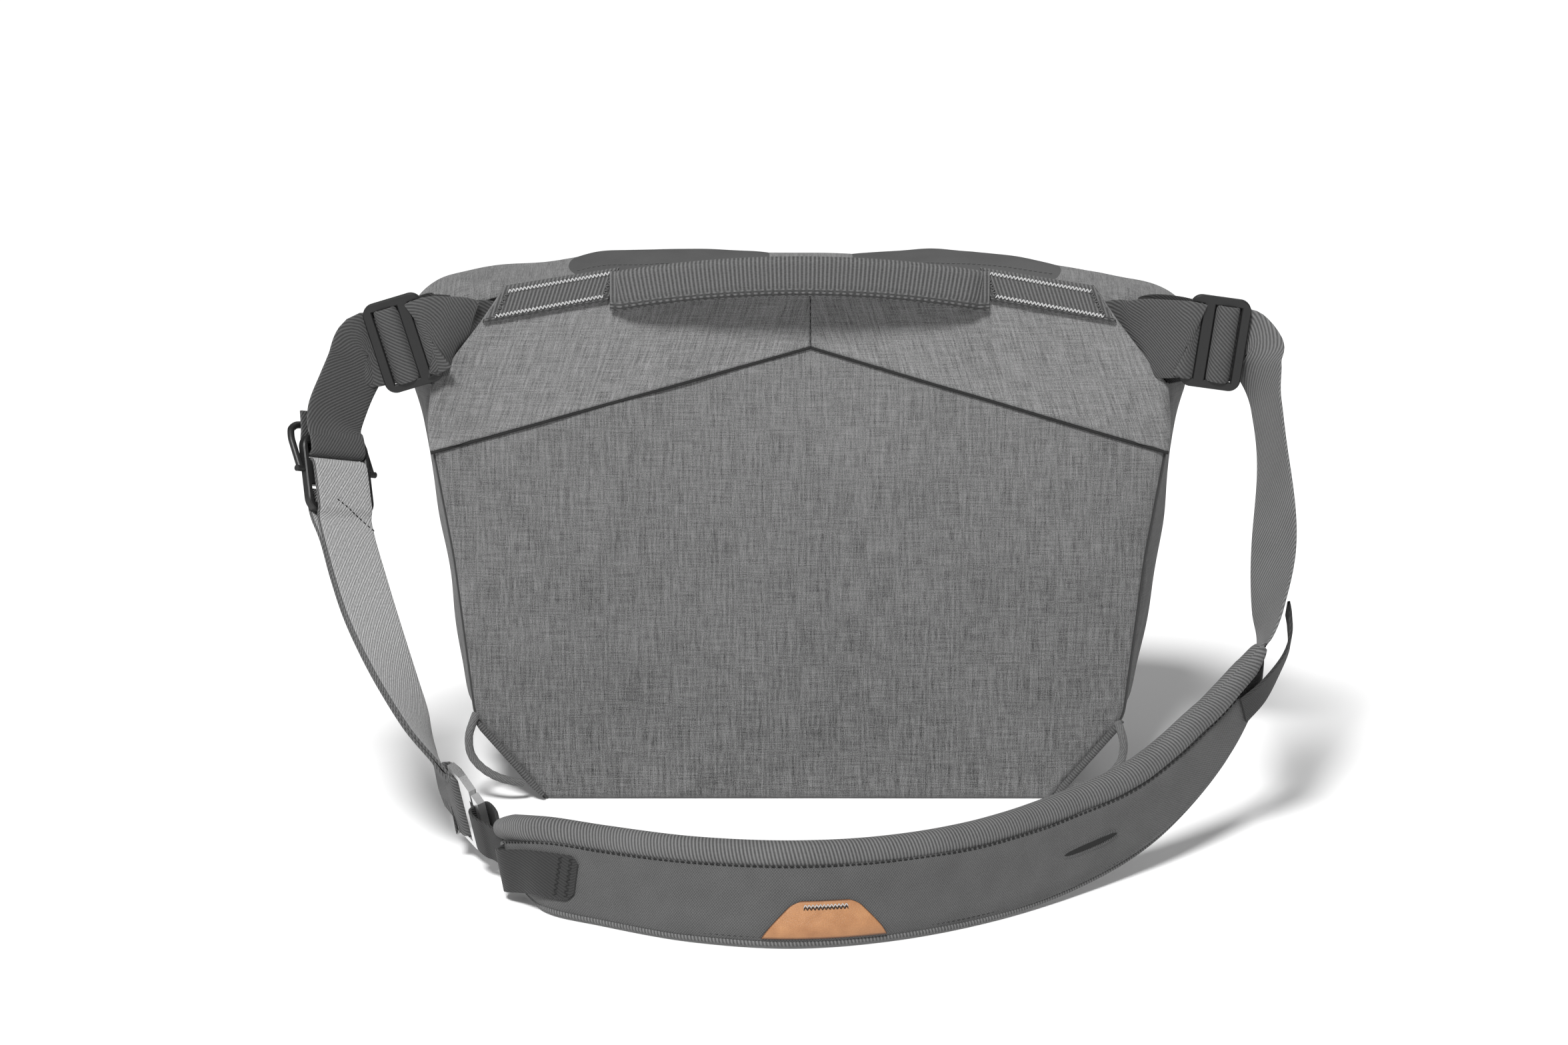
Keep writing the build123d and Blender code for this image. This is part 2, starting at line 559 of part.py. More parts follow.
def bail(plane):
    """A U-shaped lever that turns on the adjuster's pins and rests behind the upper webbing, just off its tail."""
    inner = ADJ_W / 2 + BAIL_GAP
    lever = Pos(BAIL_LEG + BAIL_T / 2 - 0.2, 0, 0) * Box(BAIL_T, 2 * (inner + BAIL_T), BAIL_T)
    for sign in (-1, 1):
        lever = lever + Pos(BAIL_LEG / 2, sign * (inner + BAIL_T / 2), 0) * Box(BAIL_LEG, BAIL_T, BAIL_T)
        lever = lever + Pos(0, sign * (inner + BAIL_T / 2), 0) * Rot(90, 0, 0) * Cylinder(ADJ_PIN_R + 1.5, BAIL_T)
    lever = lever - Rot(90, 0, 0) * Cylinder(ADJ_PIN_R + ADJ_PIN_CLEAR, 3 * ADJ_W)
    save("adjuster_bail", body_of(plane * Pos(BAIL_PIN_X, 0, 0) * Rot(0, BAIL_REST, 0) * lever))


def lower_webbing(plane, across, hook_place, hook_across):
    """A flat loop of webbing: over the adjuster's middle and lower bars, down to the hook's bar, round it and back."""
    lift = ADJ_T / 2 + WEB_T / 2 + 0.4
    slot_x = ADJ_L / 2 - ADJ_BAR - ADJ_SLOT / 2
    bar_x = ADJ_L / 2 - ADJ_BAR / 2
    apart = WEB_T / 2 + 0.2
    start = [(-ADJ_REST - 2.2, 0.4), (-ADJ_REST - 1.8, -2.0), (-ADJ_REST - 0.4, -lift), (bar_x + 1, -lift), (bar_x + 6, -lift + 1.2)]
    middle = smooth([((x, y, z), w, width) for (x, y, z), w, width in LOWER_ROUTE], 2)
    hook_lift = HOOK_T / 2 + WEB_T / 2 + 0.6
    end = [(-10, -apart - 0.6), (-HOOK_BAR / 2 - 2.5, -hook_lift), (1.6, -hook_lift), (HOOK_BAR / 2 + 1.2, -hook_lift + 1.1), (HOOK_BAR / 2 + 1.6, -0.2)]
    inner = on_plane(plane, start, across, WEB_W) + shifted(middle, -apart) + on_plane(hook_place, end, hook_across, WEB_W)
    save("webbing_lower_inner", ribbon(inner, -WEB_T / 2, WEB_T / 2))
    start = [(slot_x + 0.2, 1.3), (slot_x + 1.6, lift), (bar_x + 1, lift), (bar_x + 6, lift - 1.2)]
    end = [(-10, apart + 0.6), (-HOOK_BAR / 2 - 2.5, hook_lift), (1.6, hook_lift), (HOOK_BAR / 2 + 1.2, hook_lift - 1.1), (HOOK_BAR / 2 + 1.6, 0.2)]
    outer = on_plane(plane, start, across, WEB_W) + shifted(middle, apart) + on_plane(hook_place, end, hook_across, WEB_W)
    save("webbing_lower_outer", ribbon(outer, -WEB_T / 2, WEB_T / 2))


def shifted(stations, by):
    """Stations moved along their normals."""
    out = []
    for i, (centre, across, width) in enumerate(stations):
        ahead = stations[min(i + 1, len(stations) - 1)][0] - stations[max(i - 1, 0)][0]
        out.append((centre + ahead.cross(across).normalized() * by, across, width))
    return out


def hook_plane():
    """Local x from the webbing's bar to the loop's bar, local y up the bars."""
    along = (v(*PAD_ROUTE[0][0]) - v(*HOOK_CENTRE)).normalized()
    across = v(*HOOK_ACROSS)
    across = (across - along * across.dot(along)).normalized()
    return Plane(origin=v(*HOOK_CENTRE), x_dir=tuple(along), z_dir=tuple(along.cross(across))), across


def hook(plane):
    """A flat plate: a closed slot for the wide webbing, and a narrower hooked slot open on one side."""
    half, tip = HOOK_W / 2, HOOK_TIP_W / 2
    reach = HOOK_REACH
    outline = [(-HOOK_BAR / 2, -half), (11, -half), (reach, -tip), (reach, tip), (11, half), (-HOOK_BAR / 2, half)]
    plate = Solid.extrude(Face(Wire.make_polygon([v(x, y, -HOOK_T / 2) for x, y in outline], close=True)), v(0, 0, HOOK_T))
    slot = Pos(HOOK_BAR / 2 + HOOK_SLOT / 2, 0, 0) * Box(HOOK_SLOT, SLIDER_WINDOW, HOOK_T + 1)
    mouth_x = reach - HOOK_BAR - HOOK_SLOT / 2
    mouth = Pos(mouth_x, 0, 0) * Box(HOOK_SLOT, END_LOOP_W + 2, HOOK_T + 1)
    gate = Pos(mouth_x, tip, 0) * Box(2.4, tip, HOOK_T + 1)
    save("hook", body_of(plane * (Part() + plate - slot - mouth - gate)))


# ---------------------------------------------------------------- pad and right side
def end_loop(plane, across):
    """The pad's left end: a narrow webbing loop round the hook's outer bar, sewn under the pad's skin."""
    lift = HOOK_T / 2 + TAB_T / 2 + HOOK_PLAY
    bar_x = HOOK_REACH - HOOK_BAR / 2
    turn = bar_x - HOOK_BAR / 2 - TAB_T / 2 - 0.9
    far = (v(*PAD_ROUTE[0][0]) - v(*HOOK_CENTRE)).length - 2.0
    line = [(far, 1.2), (HOOK_REACH + 5, lift - 1.0), (bar_x, lift), (turn + 0.8, lift - 0.5), (turn, 1.4), (turn, -1.4), (turn + 0.8, -lift + 0.5)]
    line += [(bar_x, -lift), (HOOK_REACH + 5, -lift + 1.0), (far, -1.2)]
    save("pad_end_loop", ribbon(on_plane(plane, line, across, END_LOOP_W), -TAB_T / 2, TAB_T / 2))


def pad():
    stations = smooth(PAD_ROUTE, 2)
    core, skin = PAD_CORE_T / 2, PAD_SKIN_T
    lower, roll = (-1, PIPING_T + 0.3), (1, -PAD_ROLL_W - 0.2)
    save("pad_core", ribbon(stations[1:], -core, core, (lower[0], lower[1] + 0.4), (roll[0], roll[1] - 0.4)))
    save("pad_face", ribbon(stations, core + GAP, core + GAP + skin, lower, roll))
    save("pad_back", ribbon(stations, -core - GAP - skin, -core - GAP, lower, roll))
    save("pad_top_roll", ribbon(stations[1:], -core - skin - PAD_ROLL, core + skin + PAD_ROLL, (1, -PAD_ROLL_W), (1, 0)))
    save("pad_bottom_piping", ribbon(stations, -PIPING_T / 2, PIPING_T / 2, (-1, 0), (-1, PIPING_T)))
    out = core + skin + 2 * GAP
    tab = stations[1:5]
    save("pad_tab_left", ribbon(narrow(tab, TAB_W, -5.5), out, out + TAB_T))
    tab = stations[-5:-1]
    save("pad_tab_right", ribbon(narrow(tab, TAB_W, -5.5), out, out + TAB_T))
    middle = len(stations) * 0.385
    tag = stations[int(middle) - 1:int(middle) + 2]
    save("leather_tag", leather_tag(tag, out))


def narrow(stations, width, shift):
    """The same stations with a set width, moved along the width direction."""
    return [(centre + across * shift, across, width) for centre, across, _ in stations]


def leather_tag(stations, out):
    """A trapezoid tag, wider at the pad's lower edge."""
    centre, across, width = stations[1]
    ahead = (stations[2][0] - stations[0][0]).normalized()
    normal = ahead.cross(across).normalized()
    foot = centre + across * (-width / 2 + PIPING_T + 1.0) + normal * out
    pts = []
    for half, rise in ((TAG_FOOT / 2, 0), (TAG_HEAD / 2, TAG_H)):
        pts.append((foot + ahead * half + across * rise, foot - ahead * half + across * rise))
    ring = [pts[0][0], pts[1][0], pts[1][1], pts[0][1]]
    return slab([tuple(p) for p in ring], tuple(normal * TAG_T))


def right_webbing():
    """From the pad's right end up to the right slider."""
    route = smooth(RIGHT_ROUTE, 3)
    save("webbing_right", ribbon(route, -WEB_T / 2, WEB_T / 2))


# ---------------------------------------------------------------- corners
def corner_piping():
    """A narrow welt along each chamfered lower corner."""
    for side, sign in SIGN.items():
        a, b = v(sign * (BASE_HALF + 6), BACK_Y - 0.1, 4.0), v(sign * (CORNER_HALF - 1.5), BACK_Y - 0.1, CORNER_H - 3)
        along = (b - a).normalized()
        inwards = v(-sign * along.Z, 0, sign * along.X)
        inwards = inwards * (1 if inwards.X * sign < 0 else -1)
        ring = [a, b, b + inwards * WELT, a + inwards * WELT]
        save(f"corner_piping_{side}", slab([tuple(p) for p in ring], (0, -WELT_T, 0)))


def cord_route(points):
    """A cord's centre line: straight runs with a tangent arc at every corner."""
    radii = []
    for a, b, c in zip(points, points[1:], points[2:]):
        run = min((b - a).length, (c - b).length)
        turn = radians((b - a).get_angle(c - b))
        radii.append(round(0.45 * run / tan(turn / 2), 2))
    print("cord radii", radii)
    return FilletPolyline(*points, radius=radii)


def cord_loops():
    """Loops of cord that hang from the lower corners on the wearer's side."""
    for side in SIGN:
        points = [v(*p) for p in CORD[side]]
        path = cord_route(points)
        section = Plane(origin=path @ 0, z_dir=path % 0) * Circle(CORD_D / 2)
        save(f"cord_loop_{side}", body_of(sweep(section, path=path)))


adj = adjuster_plane()
hook_place, hook_across = hook_plane()
print("adjuster pins", [round(c, 3) for c in adj.from_local_coords(v(BAIL_PIN_X, 0, 0))], [round(c, 5) for c in adj.y_dir])
print("hook axis", [round(c, 5) for c in hook_across])
bag_body()
dividers()
lid()
zips()
front_pocket()
handle()
for side in SIGN:
    slider(side)
    anchor_webbing(side)
adjuster(adj)
bail(adj)
upper_webbing(adj, adj.y_dir)
hook(hook_place)
lower_webbing(adj, adj.y_dir, hook_place, hook_across)
end_loop(hook_place, hook_across)
pad()
right_webbing()
corner_piping()
cord_loops()
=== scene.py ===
"""Camera sling bag: its looks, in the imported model's own frame. Z is up and the wearer's side faces -Y.

Shapes are worked out in millimetres as whole numpy arrays and written to meshes in metres. Each cloth piece carries
a UV map called cloth, in metres along and across the cloth, that its weave follows.
"""

import bpy
import numpy as np
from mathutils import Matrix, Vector


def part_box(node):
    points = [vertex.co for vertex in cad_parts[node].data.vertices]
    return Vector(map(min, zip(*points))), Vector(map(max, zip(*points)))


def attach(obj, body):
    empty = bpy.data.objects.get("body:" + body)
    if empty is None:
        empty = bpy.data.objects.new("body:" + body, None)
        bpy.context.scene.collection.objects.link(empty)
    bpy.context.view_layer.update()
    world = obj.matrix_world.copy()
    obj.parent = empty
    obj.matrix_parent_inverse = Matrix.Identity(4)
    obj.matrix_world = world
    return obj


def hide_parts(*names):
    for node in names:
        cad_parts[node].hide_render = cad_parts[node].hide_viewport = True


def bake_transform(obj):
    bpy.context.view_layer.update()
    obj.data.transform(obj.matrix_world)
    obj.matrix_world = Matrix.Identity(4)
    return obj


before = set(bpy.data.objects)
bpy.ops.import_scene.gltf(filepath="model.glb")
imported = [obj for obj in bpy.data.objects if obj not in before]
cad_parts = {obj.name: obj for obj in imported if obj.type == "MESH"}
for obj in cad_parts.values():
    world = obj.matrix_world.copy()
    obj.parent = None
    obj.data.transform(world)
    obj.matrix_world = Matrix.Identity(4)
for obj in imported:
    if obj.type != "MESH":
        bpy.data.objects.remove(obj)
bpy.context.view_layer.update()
scene = bpy.context.scene
MM = 0.001

# ---------------------------------------------------------------- camera, floor, light
TARGET = Vector((-0.008, -0.066, 0.150))
TILT = np.radians(14.0)
camera = bpy.data.objects.new("camera", bpy.data.cameras.new("camera"))
scene.collection.objects.link(camera)
back = Vector((0.0, -np.cos(TILT), np.sin(TILT)))
camera.location = TARGET + back * 3.0
camera.rotation_mode = "QUATERNION"
camera.rotation_quaternion = (-back).to_track_quat("-Z", "Y")
camera.data.lens = 133.2
camera.data.sensor_width = 36.0
camera.data.clip_end = 60.0
scene.camera = camera


def lamp(name, kind, power, spread, place, heading):
    """A lamp at a place that shines along a heading: spread is a sun's angle in degrees or an area's side in metres."""
    light = bpy.data.lights.new(name, kind)
    light.energy = power
    if kind == "SUN":
        light.angle = np.radians(spread)
    else:
        light.shape, light.size = "SQUARE", spread
    holder = bpy.data.objects.new(name, light)
    holder.location = place
    holder.rotation_mode = "QUATERNION"
    holder.rotation_quaternion = Vector(heading).to_track_quat("-Z", "Y")
    scene.collection.objects.link(holder)


lamp("key", "SUN", 4.0, 13.0, (0.0, 0.0, 0.0), (0.16, 0.64, -0.75))
lamp("rim", "AREA", 6.0, 1.2, (0.9, 1.6, 1.9), (-0.9, -1.6, -1.8))
lamp("side", "AREA", 3.0, 1.0, (-2.2, -0.6, 0.9), (2.2, 0.5, -0.8))

world = bpy.data.worlds.new("studio")
world.use_nodes = True
world.node_tree.nodes["Background"].inputs[0].default_value = (1.0, 1.0, 1.0, 1.0)
world.node_tree.nodes["Background"].inputs[1].default_value = 0.18
scene.world = world
scene.view_settings.view_transform = "Standard"


# ---------------------------------------------------------------- finishes
class Level:
    """A number that varies over a surface: arithmetic on it adds Math nodes."""

    def __init__(self, finish, socket):
        self.finish, self.socket = finish, socket

    def math(self, operation, *others):
        return Level(self.finish, self.finish.add("Math", {"operation": operation}, self, *others).outputs[0])

    def __add__(self, other):
        return self.math("ADD", other)

    def __mul__(self, other):
        return self.math("MULTIPLY", other)

    def __sub__(self, other):
        return self.math("SUBTRACT", other)

    def __rsub__(self, other):
        return self * -1.0 + other

    def __truediv__(self, other):
        return self.math("DIVIDE", other)

    __radd__, __rmul__ = __add__, __mul__

    def clamp(self):
        return self.math("MAXIMUM", 0.0).math("MINIMUM", 1.0)

    def over(self, low, high):
        """0 below low and 1 above high."""
        return ((self - low) / (high - low)).clamp()

    def wave(self, per_metre):
        """Rises and falls between 0 and 1, that many times a metre."""
        return (self * (2 * np.pi * per_metre)).math("SINE") * 0.5 + 0.5


class Finish:
    """A material being put together: one shader, and what varies over it."""

    def __init__(self, name):
        self.material = bpy.data.materials.new(name)
        self.material.use_nodes = True
        self.tree = self.material.node_tree
        self.tree.nodes.clear()

    def add(self, kind, settings=None, *values, **named):
        """A node: its settings first, then its sockets by order or by name, each a number, a tuple or a link."""
        node = self.tree.nodes.new("ShaderNode" + kind)
        for key, value in (settings or {}).items():
            setattr(node, key, value)
        for key, value in list(enumerate(values)) + [(k.replace("_", " "), w) for k, w in named.items()]:
            if isinstance(value, Level):
                value = value.socket
            if isinstance(value, bpy.types.NodeSocket):
                self.tree.links.new(value, node.inputs[key])
            else:
                node.inputs[key].default_value = value
        return node

    def cloth(self):
        """Along and across the cloth, in metres."""
        parts = self.add("SeparateXYZ", None, self.add("UVMap", {"uv_map": "cloth"}).outputs[0])
        return Level(self, parts.outputs[0]), Level(self, parts.outputs[1])

    def place(self):
        return self.add("TexCoord").outputs["Object"]

    def vector(self, *parts):
        return self.add("CombineXYZ", None, *parts).outputs[0]

    def noise(self, vector, scale=1.0, detail=2.0, rough=0.5):
        node = self.add("TexNoise", None, Vector=vector, Scale=scale, Detail=detail, Roughness=rough)
        return Level(self, node.outputs[0])

    def tones(self, level, low, high):
        """A colour between two, by a level."""
        node = self.add("Mix", {"data_type": "RGBA"})
        self.tree.links.new(level.socket, node.inputs[0])
        for slot, tone in ((6, low), (7, high)):
            if isinstance(tone, bpy.types.NodeSocket):
                self.tree.links.new(tone, node.inputs[slot])
            else:
                node.inputs[slot].default_value = tone
        return node.outputs[2]

    def bump(self, height, depth):
        """Raises the surface by height, from 0 to 1, times depth in metres."""
        return self.add("Bump", None, Strength=1.0, Distance=depth, Height=height).outputs[0]

    def done(self, **sockets):
        shader = self.add("BsdfPrincipled", None, **sockets)
        out = self.add("OutputMaterial")
        self.tree.links.new(shader.outputs[0], out.inputs[0])
        return self.material


def grey(value):
    """A grey as the eye counts it, from 11 to 255, as the shader's linear colour."""
    linear = ((value / 255.0 + 0.055) / 1.055) ** 2.4
    return (linear, linear, linear, 1.0)


def heather(name, low, high, painted_top_light=0.2):
    """Two-tone yarn: thin upright slubs and thin level ones over a salt and pepper speckle, made paler towards the top
    by painted light from above.
    """
    f = Finish(name)
    u, v = f.cloth()
    up = Level(f, f.add("SeparateXYZ", None, f.place()).outputs[2])
    speck = f.noise(f.vector(u * 1750.0, v * 1750.0, 1.0), detail=1.0)
    warp = f.noise(f.vector(u * 1700.0, v * 150.0, 0.0), detail=2.0)
    slub = f.noise(f.vector(u * 760.0, v * 40.0, 3.0), detail=2.0)
    weft = f.noise(f.vector(u * 60.0, v * 1500.0, 7.0), detail=2.0)
    cloud = f.noise(f.vector(u * 1.0, v * 1.0, 2.0), 16.0, 2.0)
    # painted light: the yarn grows paler with height, standing in for light falling from above
    yarn = speck * 1.1 + warp * 0.8 + slub * 0.75 + weft * 0.7 + cloud * 0.2 - 1.36 + up.over(0.0, 0.24) * painted_top_light
    weave = (u.wave(1900.0) * v.wave(1900.0)) * 0.6 + speck * 0.4
    tone = f.tones(yarn.clamp(), low, high)
    return f.done(Base_Color=tone, Roughness=0.92, Normal=f.bump(weave, 0.0002), Sheen_Weight=0.12, Sheen_Roughness=0.6)


def twill(name, low, high, along, across, fleck=0.35, depth=0.00025, inner=None):
    """Ribs at a slant, with flecks; past the edge of the first face the other face may have its own tone."""
    f = Finish(name)
    u, v = f.cloth()
    rib = (u * along + v * across).wave(1.0)
    yarn = f.noise(f.vector(u * 900.0, v * 900.0, 0.0), detail=2.0)
    cloud = f.noise(f.vector(u * 40.0, v * 40.0, 4.0), detail=1.0)
    mix = (rib * (1 - fleck) + yarn * fleck + cloud * 0.2 - 0.1).clamp()
    tone = f.tones(mix, low, high)
    if inner:
        fine = (u * 620.0 + v * 620.0).wave(1.0) * 0.3 + yarn * 0.9 - 0.1
        tone = f.tones(v.over(0.0392, 0.0396), tone, f.tones(fine.clamp(), *inner))
    return f.done(Base_Color=tone, Roughness=0.85, Normal=f.bump(rib * 0.8 + yarn * 0.2, depth), Sheen_Weight=0.1)


def ribbed(name, low, high, pitch, painted_shadow_line):
    """Ribs straight across the strap, and a honeycomb of small knots along its lower edge."""
    f = Finish(name)
    u, v = f.cloth()
    rib = u.wave(1.0 / pitch)
    yarn = f.noise(f.vector(u * 700.0, v * 1500.0, 0.0), detail=2.0)
    knots = (u.wave(0.6 / pitch) * v.wave(560.0)).over(0.1, 0.7)
    low_edge = 1 - v.over(painted_shadow_line - 0.0008, painted_shadow_line + 0.0008)
    relief = rib * (1 - low_edge) + knots * low_edge
    tone = f.tones((relief * 0.55 + yarn * 0.5 - 0.05 - low_edge * 0.06).clamp(), low, high)
    return f.done(Base_Color=tone, Roughness=0.88, Normal=f.bump(relief, 0.0004), Sheen_Weight=0.1)


def mesh_knit(name, low, high):
    """A fine knitted mesh: rows of tiny holes, set off by half a step in every other row."""
    f = Finish(name)
    u, v = f.cloth()
    cells = (u.wave(760.0) * v.wave(640.0) + (u + 0.00066).wave(760.0) * (v + 0.00078).wave(640.0)).clamp()
    yarn = f.noise(f.vector(u * 1400.0, v * 1400.0, 0.0), detail=2.0)
    cloud = f.noise(f.vector(u * 60.0, v * 60.0, 4.0), detail=2.0)
    tone = f.tones((cells * 0.5 + yarn * 0.5 + cloud * 0.3 - 0.15).clamp(), low, high)
    return f.done(Base_Color=tone, Roughness=0.9, Normal=f.bump(cells, 0.00025), Sheen_Weight=0.15)


def coated(name, tone, rough, bump=0.00008, metal=0.0, spread=0.25):
    """A smooth coated cloth, plastic or metal: a fine even grain and soft clouds in its tone and gloss."""
    f = Finish(name)
    grain = f.noise(f.place(), 1400.0, 2.0)
    cloud = f.noise(f.place(), 60.0, 3.0)
    dark, pale = (tuple(min(c * share, 1.0) for c in tone[:3]) + (1.0,) for share in (1 - spread, 1 + spread))
    mix = f.tones((cloud * 0.6 + grain * 0.6 - 0.1).clamp(), dark, pale)
    gloss = cloud * 0.16 + grain * 0.10 + (rough - 0.13)
    return f.done(Base_Color=mix, Roughness=gloss, Metallic=metal, Normal=f.bump(grain, bump))


def leather(name):
    """Smooth tanned leather: pores and clouds in the grain, and a darker burnished border by the cloth map."""
    f = Finish(name)
    v = f.cloth()[1]
    pores = f.add("TexVoronoi", {"feature": "DISTANCE_TO_EDGE"}, Vector=f.place(), Scale=900.0)
    pores = Level(f, pores.outputs["Distance"]).over(0.0, 0.12)
    cloud = f.noise(f.place(), 130.0, 4.0)
    painted_shadow_line = v.over(0.0, 0.0011)
    hide = f.tones((cloud * 1.1 - 0.1 + pores * 0.08).clamp(), (0.27, 0.115, 0.045, 1), (0.47, 0.235, 0.105, 1))
    tone = f.tones(painted_shadow_line, (0.075, 0.028, 0.014, 1), hide)
    return f.done(Base_Color=tone, Roughness=cloud * 0.2 + 0.42, Normal=f.bump(pores * 0.5 + cloud * 0.5, 0.00012))


SHELL = heather("shell_heather", grey(30), grey(132))
# painted light: the yoke cloth is a paler copy of the shell heather, standing in for the brighter light on the upper
# back
PAINTED_LIGHT_YOKE = heather("yoke_heather_painted_light", grey(34), grey(142))
GUSSET = heather("gusset_heather", grey(26), grey(112))
HUMP = coated("coated_cloth", grey(76), 0.62)
LINING = mesh_knit("lining_knit", grey(120), grey(158))
DIVIDER = mesh_knit("divider_knit", grey(96), grey(140))
BINDING = twill("binding_tape", grey(28), grey(64), 0.0, 900.0)
HANDLE = ribbed("handle_webbing", grey(32), grey(118), 0.0021, 0.0040)
STRAP_DARK = twill("strap_webbing", grey(34), grey(88), 450.0, 490.0)
STRAP_TWO = twill("strap_two_sided", grey(40), grey(104), 450.0, 490.0, inner=(grey(96), grey(196)))
STRAP_RIGHT = twill("strap_right", grey(54), grey(120), 370.0, 400.0)
PAD_FACE = mesh_knit("pad_mesh", grey(40), grey(98))
ROLL = twill("pad_roll_twill", grey(42), grey(118), 560.0, 130.0, 0.3, 0.00035)
BLACK_WEB = twill("black_tab_webbing", grey(18), grey(50), 300.0, 700.0)
CORD = twill("cord_braid", grey(36), grey(120), 420.0, 900.0, 0.6, 0.0002)
WELT = twill("corner_piping", grey(36), grey(92), 700.0, 0.0)
LEATHER = leather("tan_leather")
BLACK = coated("black_metal", grey(36), 0.42, 0.00003, 0.25)
SILVER = coated("brushed_metal", grey(226), 0.3, 0.00002, 0.9, 0.06)
ZIP_METAL = coated("zip_metal", grey(70), 0.36, 0.00003, 0.7)
TAPE = twill("zip_tape", grey(34), grey(70), 0.0, 1100.0)
COIL = coated("zip_coil", grey(44), 0.4)
LIGHT_THREAD = coated("light_thread", grey(176), 0.8)
# dark thread for stitches; also the painted shadow line under the yokes and the painted shade inside the pad slit
DARK_THREAD_AND_PAINTED_SHADE = coated("dark_thread_and_painted_shade", grey(24), 0.85)
GREY_THREAD = coated("grey_thread", grey(84), 0.85)


# ---------------------------------------------------------------- mesh helpers
def unit(a):
    return a / np.maximum(np.linalg.norm(a, axis=-1, keepdims=True), 1e-9)


def put(name, verts, groups, uvs, body, finish, stands_for=(), crease=40.0):
    """A mesh from millimetre points and corner index arrays, one array for each number of corners."""
    mesh = bpy.data.meshes.new(name)
    corners = np.concatenate([g.ravel() for g in groups]).astype(np.int32)
    sizes = np.concatenate([np.full(len(g), g.shape[1]) for g in groups])
    mesh.vertices.add(len(verts))
    mesh.vertices.foreach_set("co", (np.asarray(verts, float) * MM).ravel())
    mesh.loops.add(len(corners))
    mesh.loops.foreach_set("vertex_index", corners)
    mesh.polygons.add(len(sizes))
    mesh.polygons.foreach_set("loop_start", (np.cumsum(sizes) - sizes).astype(np.int32))
    mesh.update(calc_edges=True)
    mesh.polygons.foreach_set("use_smooth", np.ones(len(sizes), bool))
    mesh.uv_layers.new(name="cloth").data.foreach_set("uv", np.asarray(uvs, float).ravel())
    mesh.set_sharp_from_angle(angle=np.radians(crease))
    mesh.materials.append(finish)
    mesh.validate()
    piece = bpy.data.objects.new(name, mesh)
    scene.collection.objects.link(piece)
    if body:
        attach(piece, body)
    if stands_for:
        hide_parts(*stands_for)
    return piece


def grid(
    name, P, body, finish, slot, stands_for=(), ring=False, caps=False, uv=None, thick=0.0, flip=False, crease=40.0
):
    """Quads between neighbouring points of P[row, column]; rows x columns points outwards.

    ring closes each row on itself, caps closes the first and last rows with fans, and thick gives an open sheet a
    wall on its inner side. Without uv, the cloth map is the distance along the rows' mean line and round each row.
    """
    m, n = P.shape[:2]
    Q = np.concatenate([P, P[:, :1]], 1) if ring else P
    if uv is None:
        u = np.r_[0, np.cumsum(np.linalg.norm(np.diff(Q, axis=0), axis=2).mean(1))]
        v = np.concatenate([np.zeros((m, 1)), np.cumsum(np.linalg.norm(np.diff(Q, axis=1), axis=2), 1)], 1)
        uv = np.stack([np.broadcast_to(u[:, None], v.shape), v], -1) * MM
    R, C = np.meshgrid(np.arange(m - 1), np.arange(n - (not ring)), indexing="ij")
    R, C = R.ravel(), C.ravel()
    step = ((0, 0), (1, 0), (1, 1), (0, 1))
    step = step[::-1] if flip else step
    quads = np.stack([(R + a) * n + (C + b) % n for a, b in step], 1)
    corner_uv = np.stack([uv[R + a, C + b] for a, b in step], 1)
    verts, groups, uvs = P.reshape(-1, 3), [quads], [corner_uv.reshape(-1, 2)]
    if caps:
        k = np.arange(n)
        verts = np.vstack([verts, P[0].mean(0), P[-1].mean(0)])
        first = np.stack([np.full(n, m * n), k, (k + 1) % n], 1)
        last = np.stack([np.full(n, m * n + 1), (m - 1) * n + (k + 1) % n, (m - 1) * n + k], 1)
        if flip:
            first, last = first[:, ::-1], last[:, ::-1]
        groups += [first, last]
        uvs += [np.broadcast_to(uv[0, 0], (3 * n, 2)), np.broadcast_to(uv[-1, 0], (3 * n, 2))]
    piece = put(name, verts, groups, np.concatenate(uvs), body, finish, stands_for, crease)
    if thick:
        wall = piece.modifiers.new("wall", "SOLIDIFY")
        wall.thickness, wall.offset = thick * MM, -1.0
    return piece


def even(line, spread, blur=0.0):
    """A line's points at even shares of its length, averaged over blur mm each way with its ends held."""
    line = np.asarray(line, float)
    run = np.r_[0, np.cumsum(np.linalg.norm(np.diff(line, axis=0), axis=1))]
    count = 801
    fine = np.linspace(0, run[-1], count)
    points = np.stack([np.interp(fine, run, line[:, k]) for k in range(line.shape[1])], 1)
    reach = int(round(blur / (run[-1] / (count - 1))))
    if reach:
        weight = np.hanning(2 * reach + 3)[1:-1]
        weight /= weight.sum()
        longer = np.vstack([2 * points[0] - points[reach:0:-1], points, 2 * points[-1] - points[-2:-reach - 2:-1]])
        points = np.stack([np.convolve(longer[:, k], weight, "valid") for k in range(line.shape[1])], 1)
    spread = np.linspace(0, 1, spread) if np.isscalar(spread) else spread
    return np.stack([np.interp(spread * run[-1], fine, points[:, k]) for k in range(line.shape[1])], 1)


def close_ends(count, share=0.6):
    """Shares from 0 to 1 that crowd towards both ends."""
    s = np.linspace(0, 1, count)
    return (1 - share) * s + share * (0.5 - 0.5 * np.cos(np.pi * s))


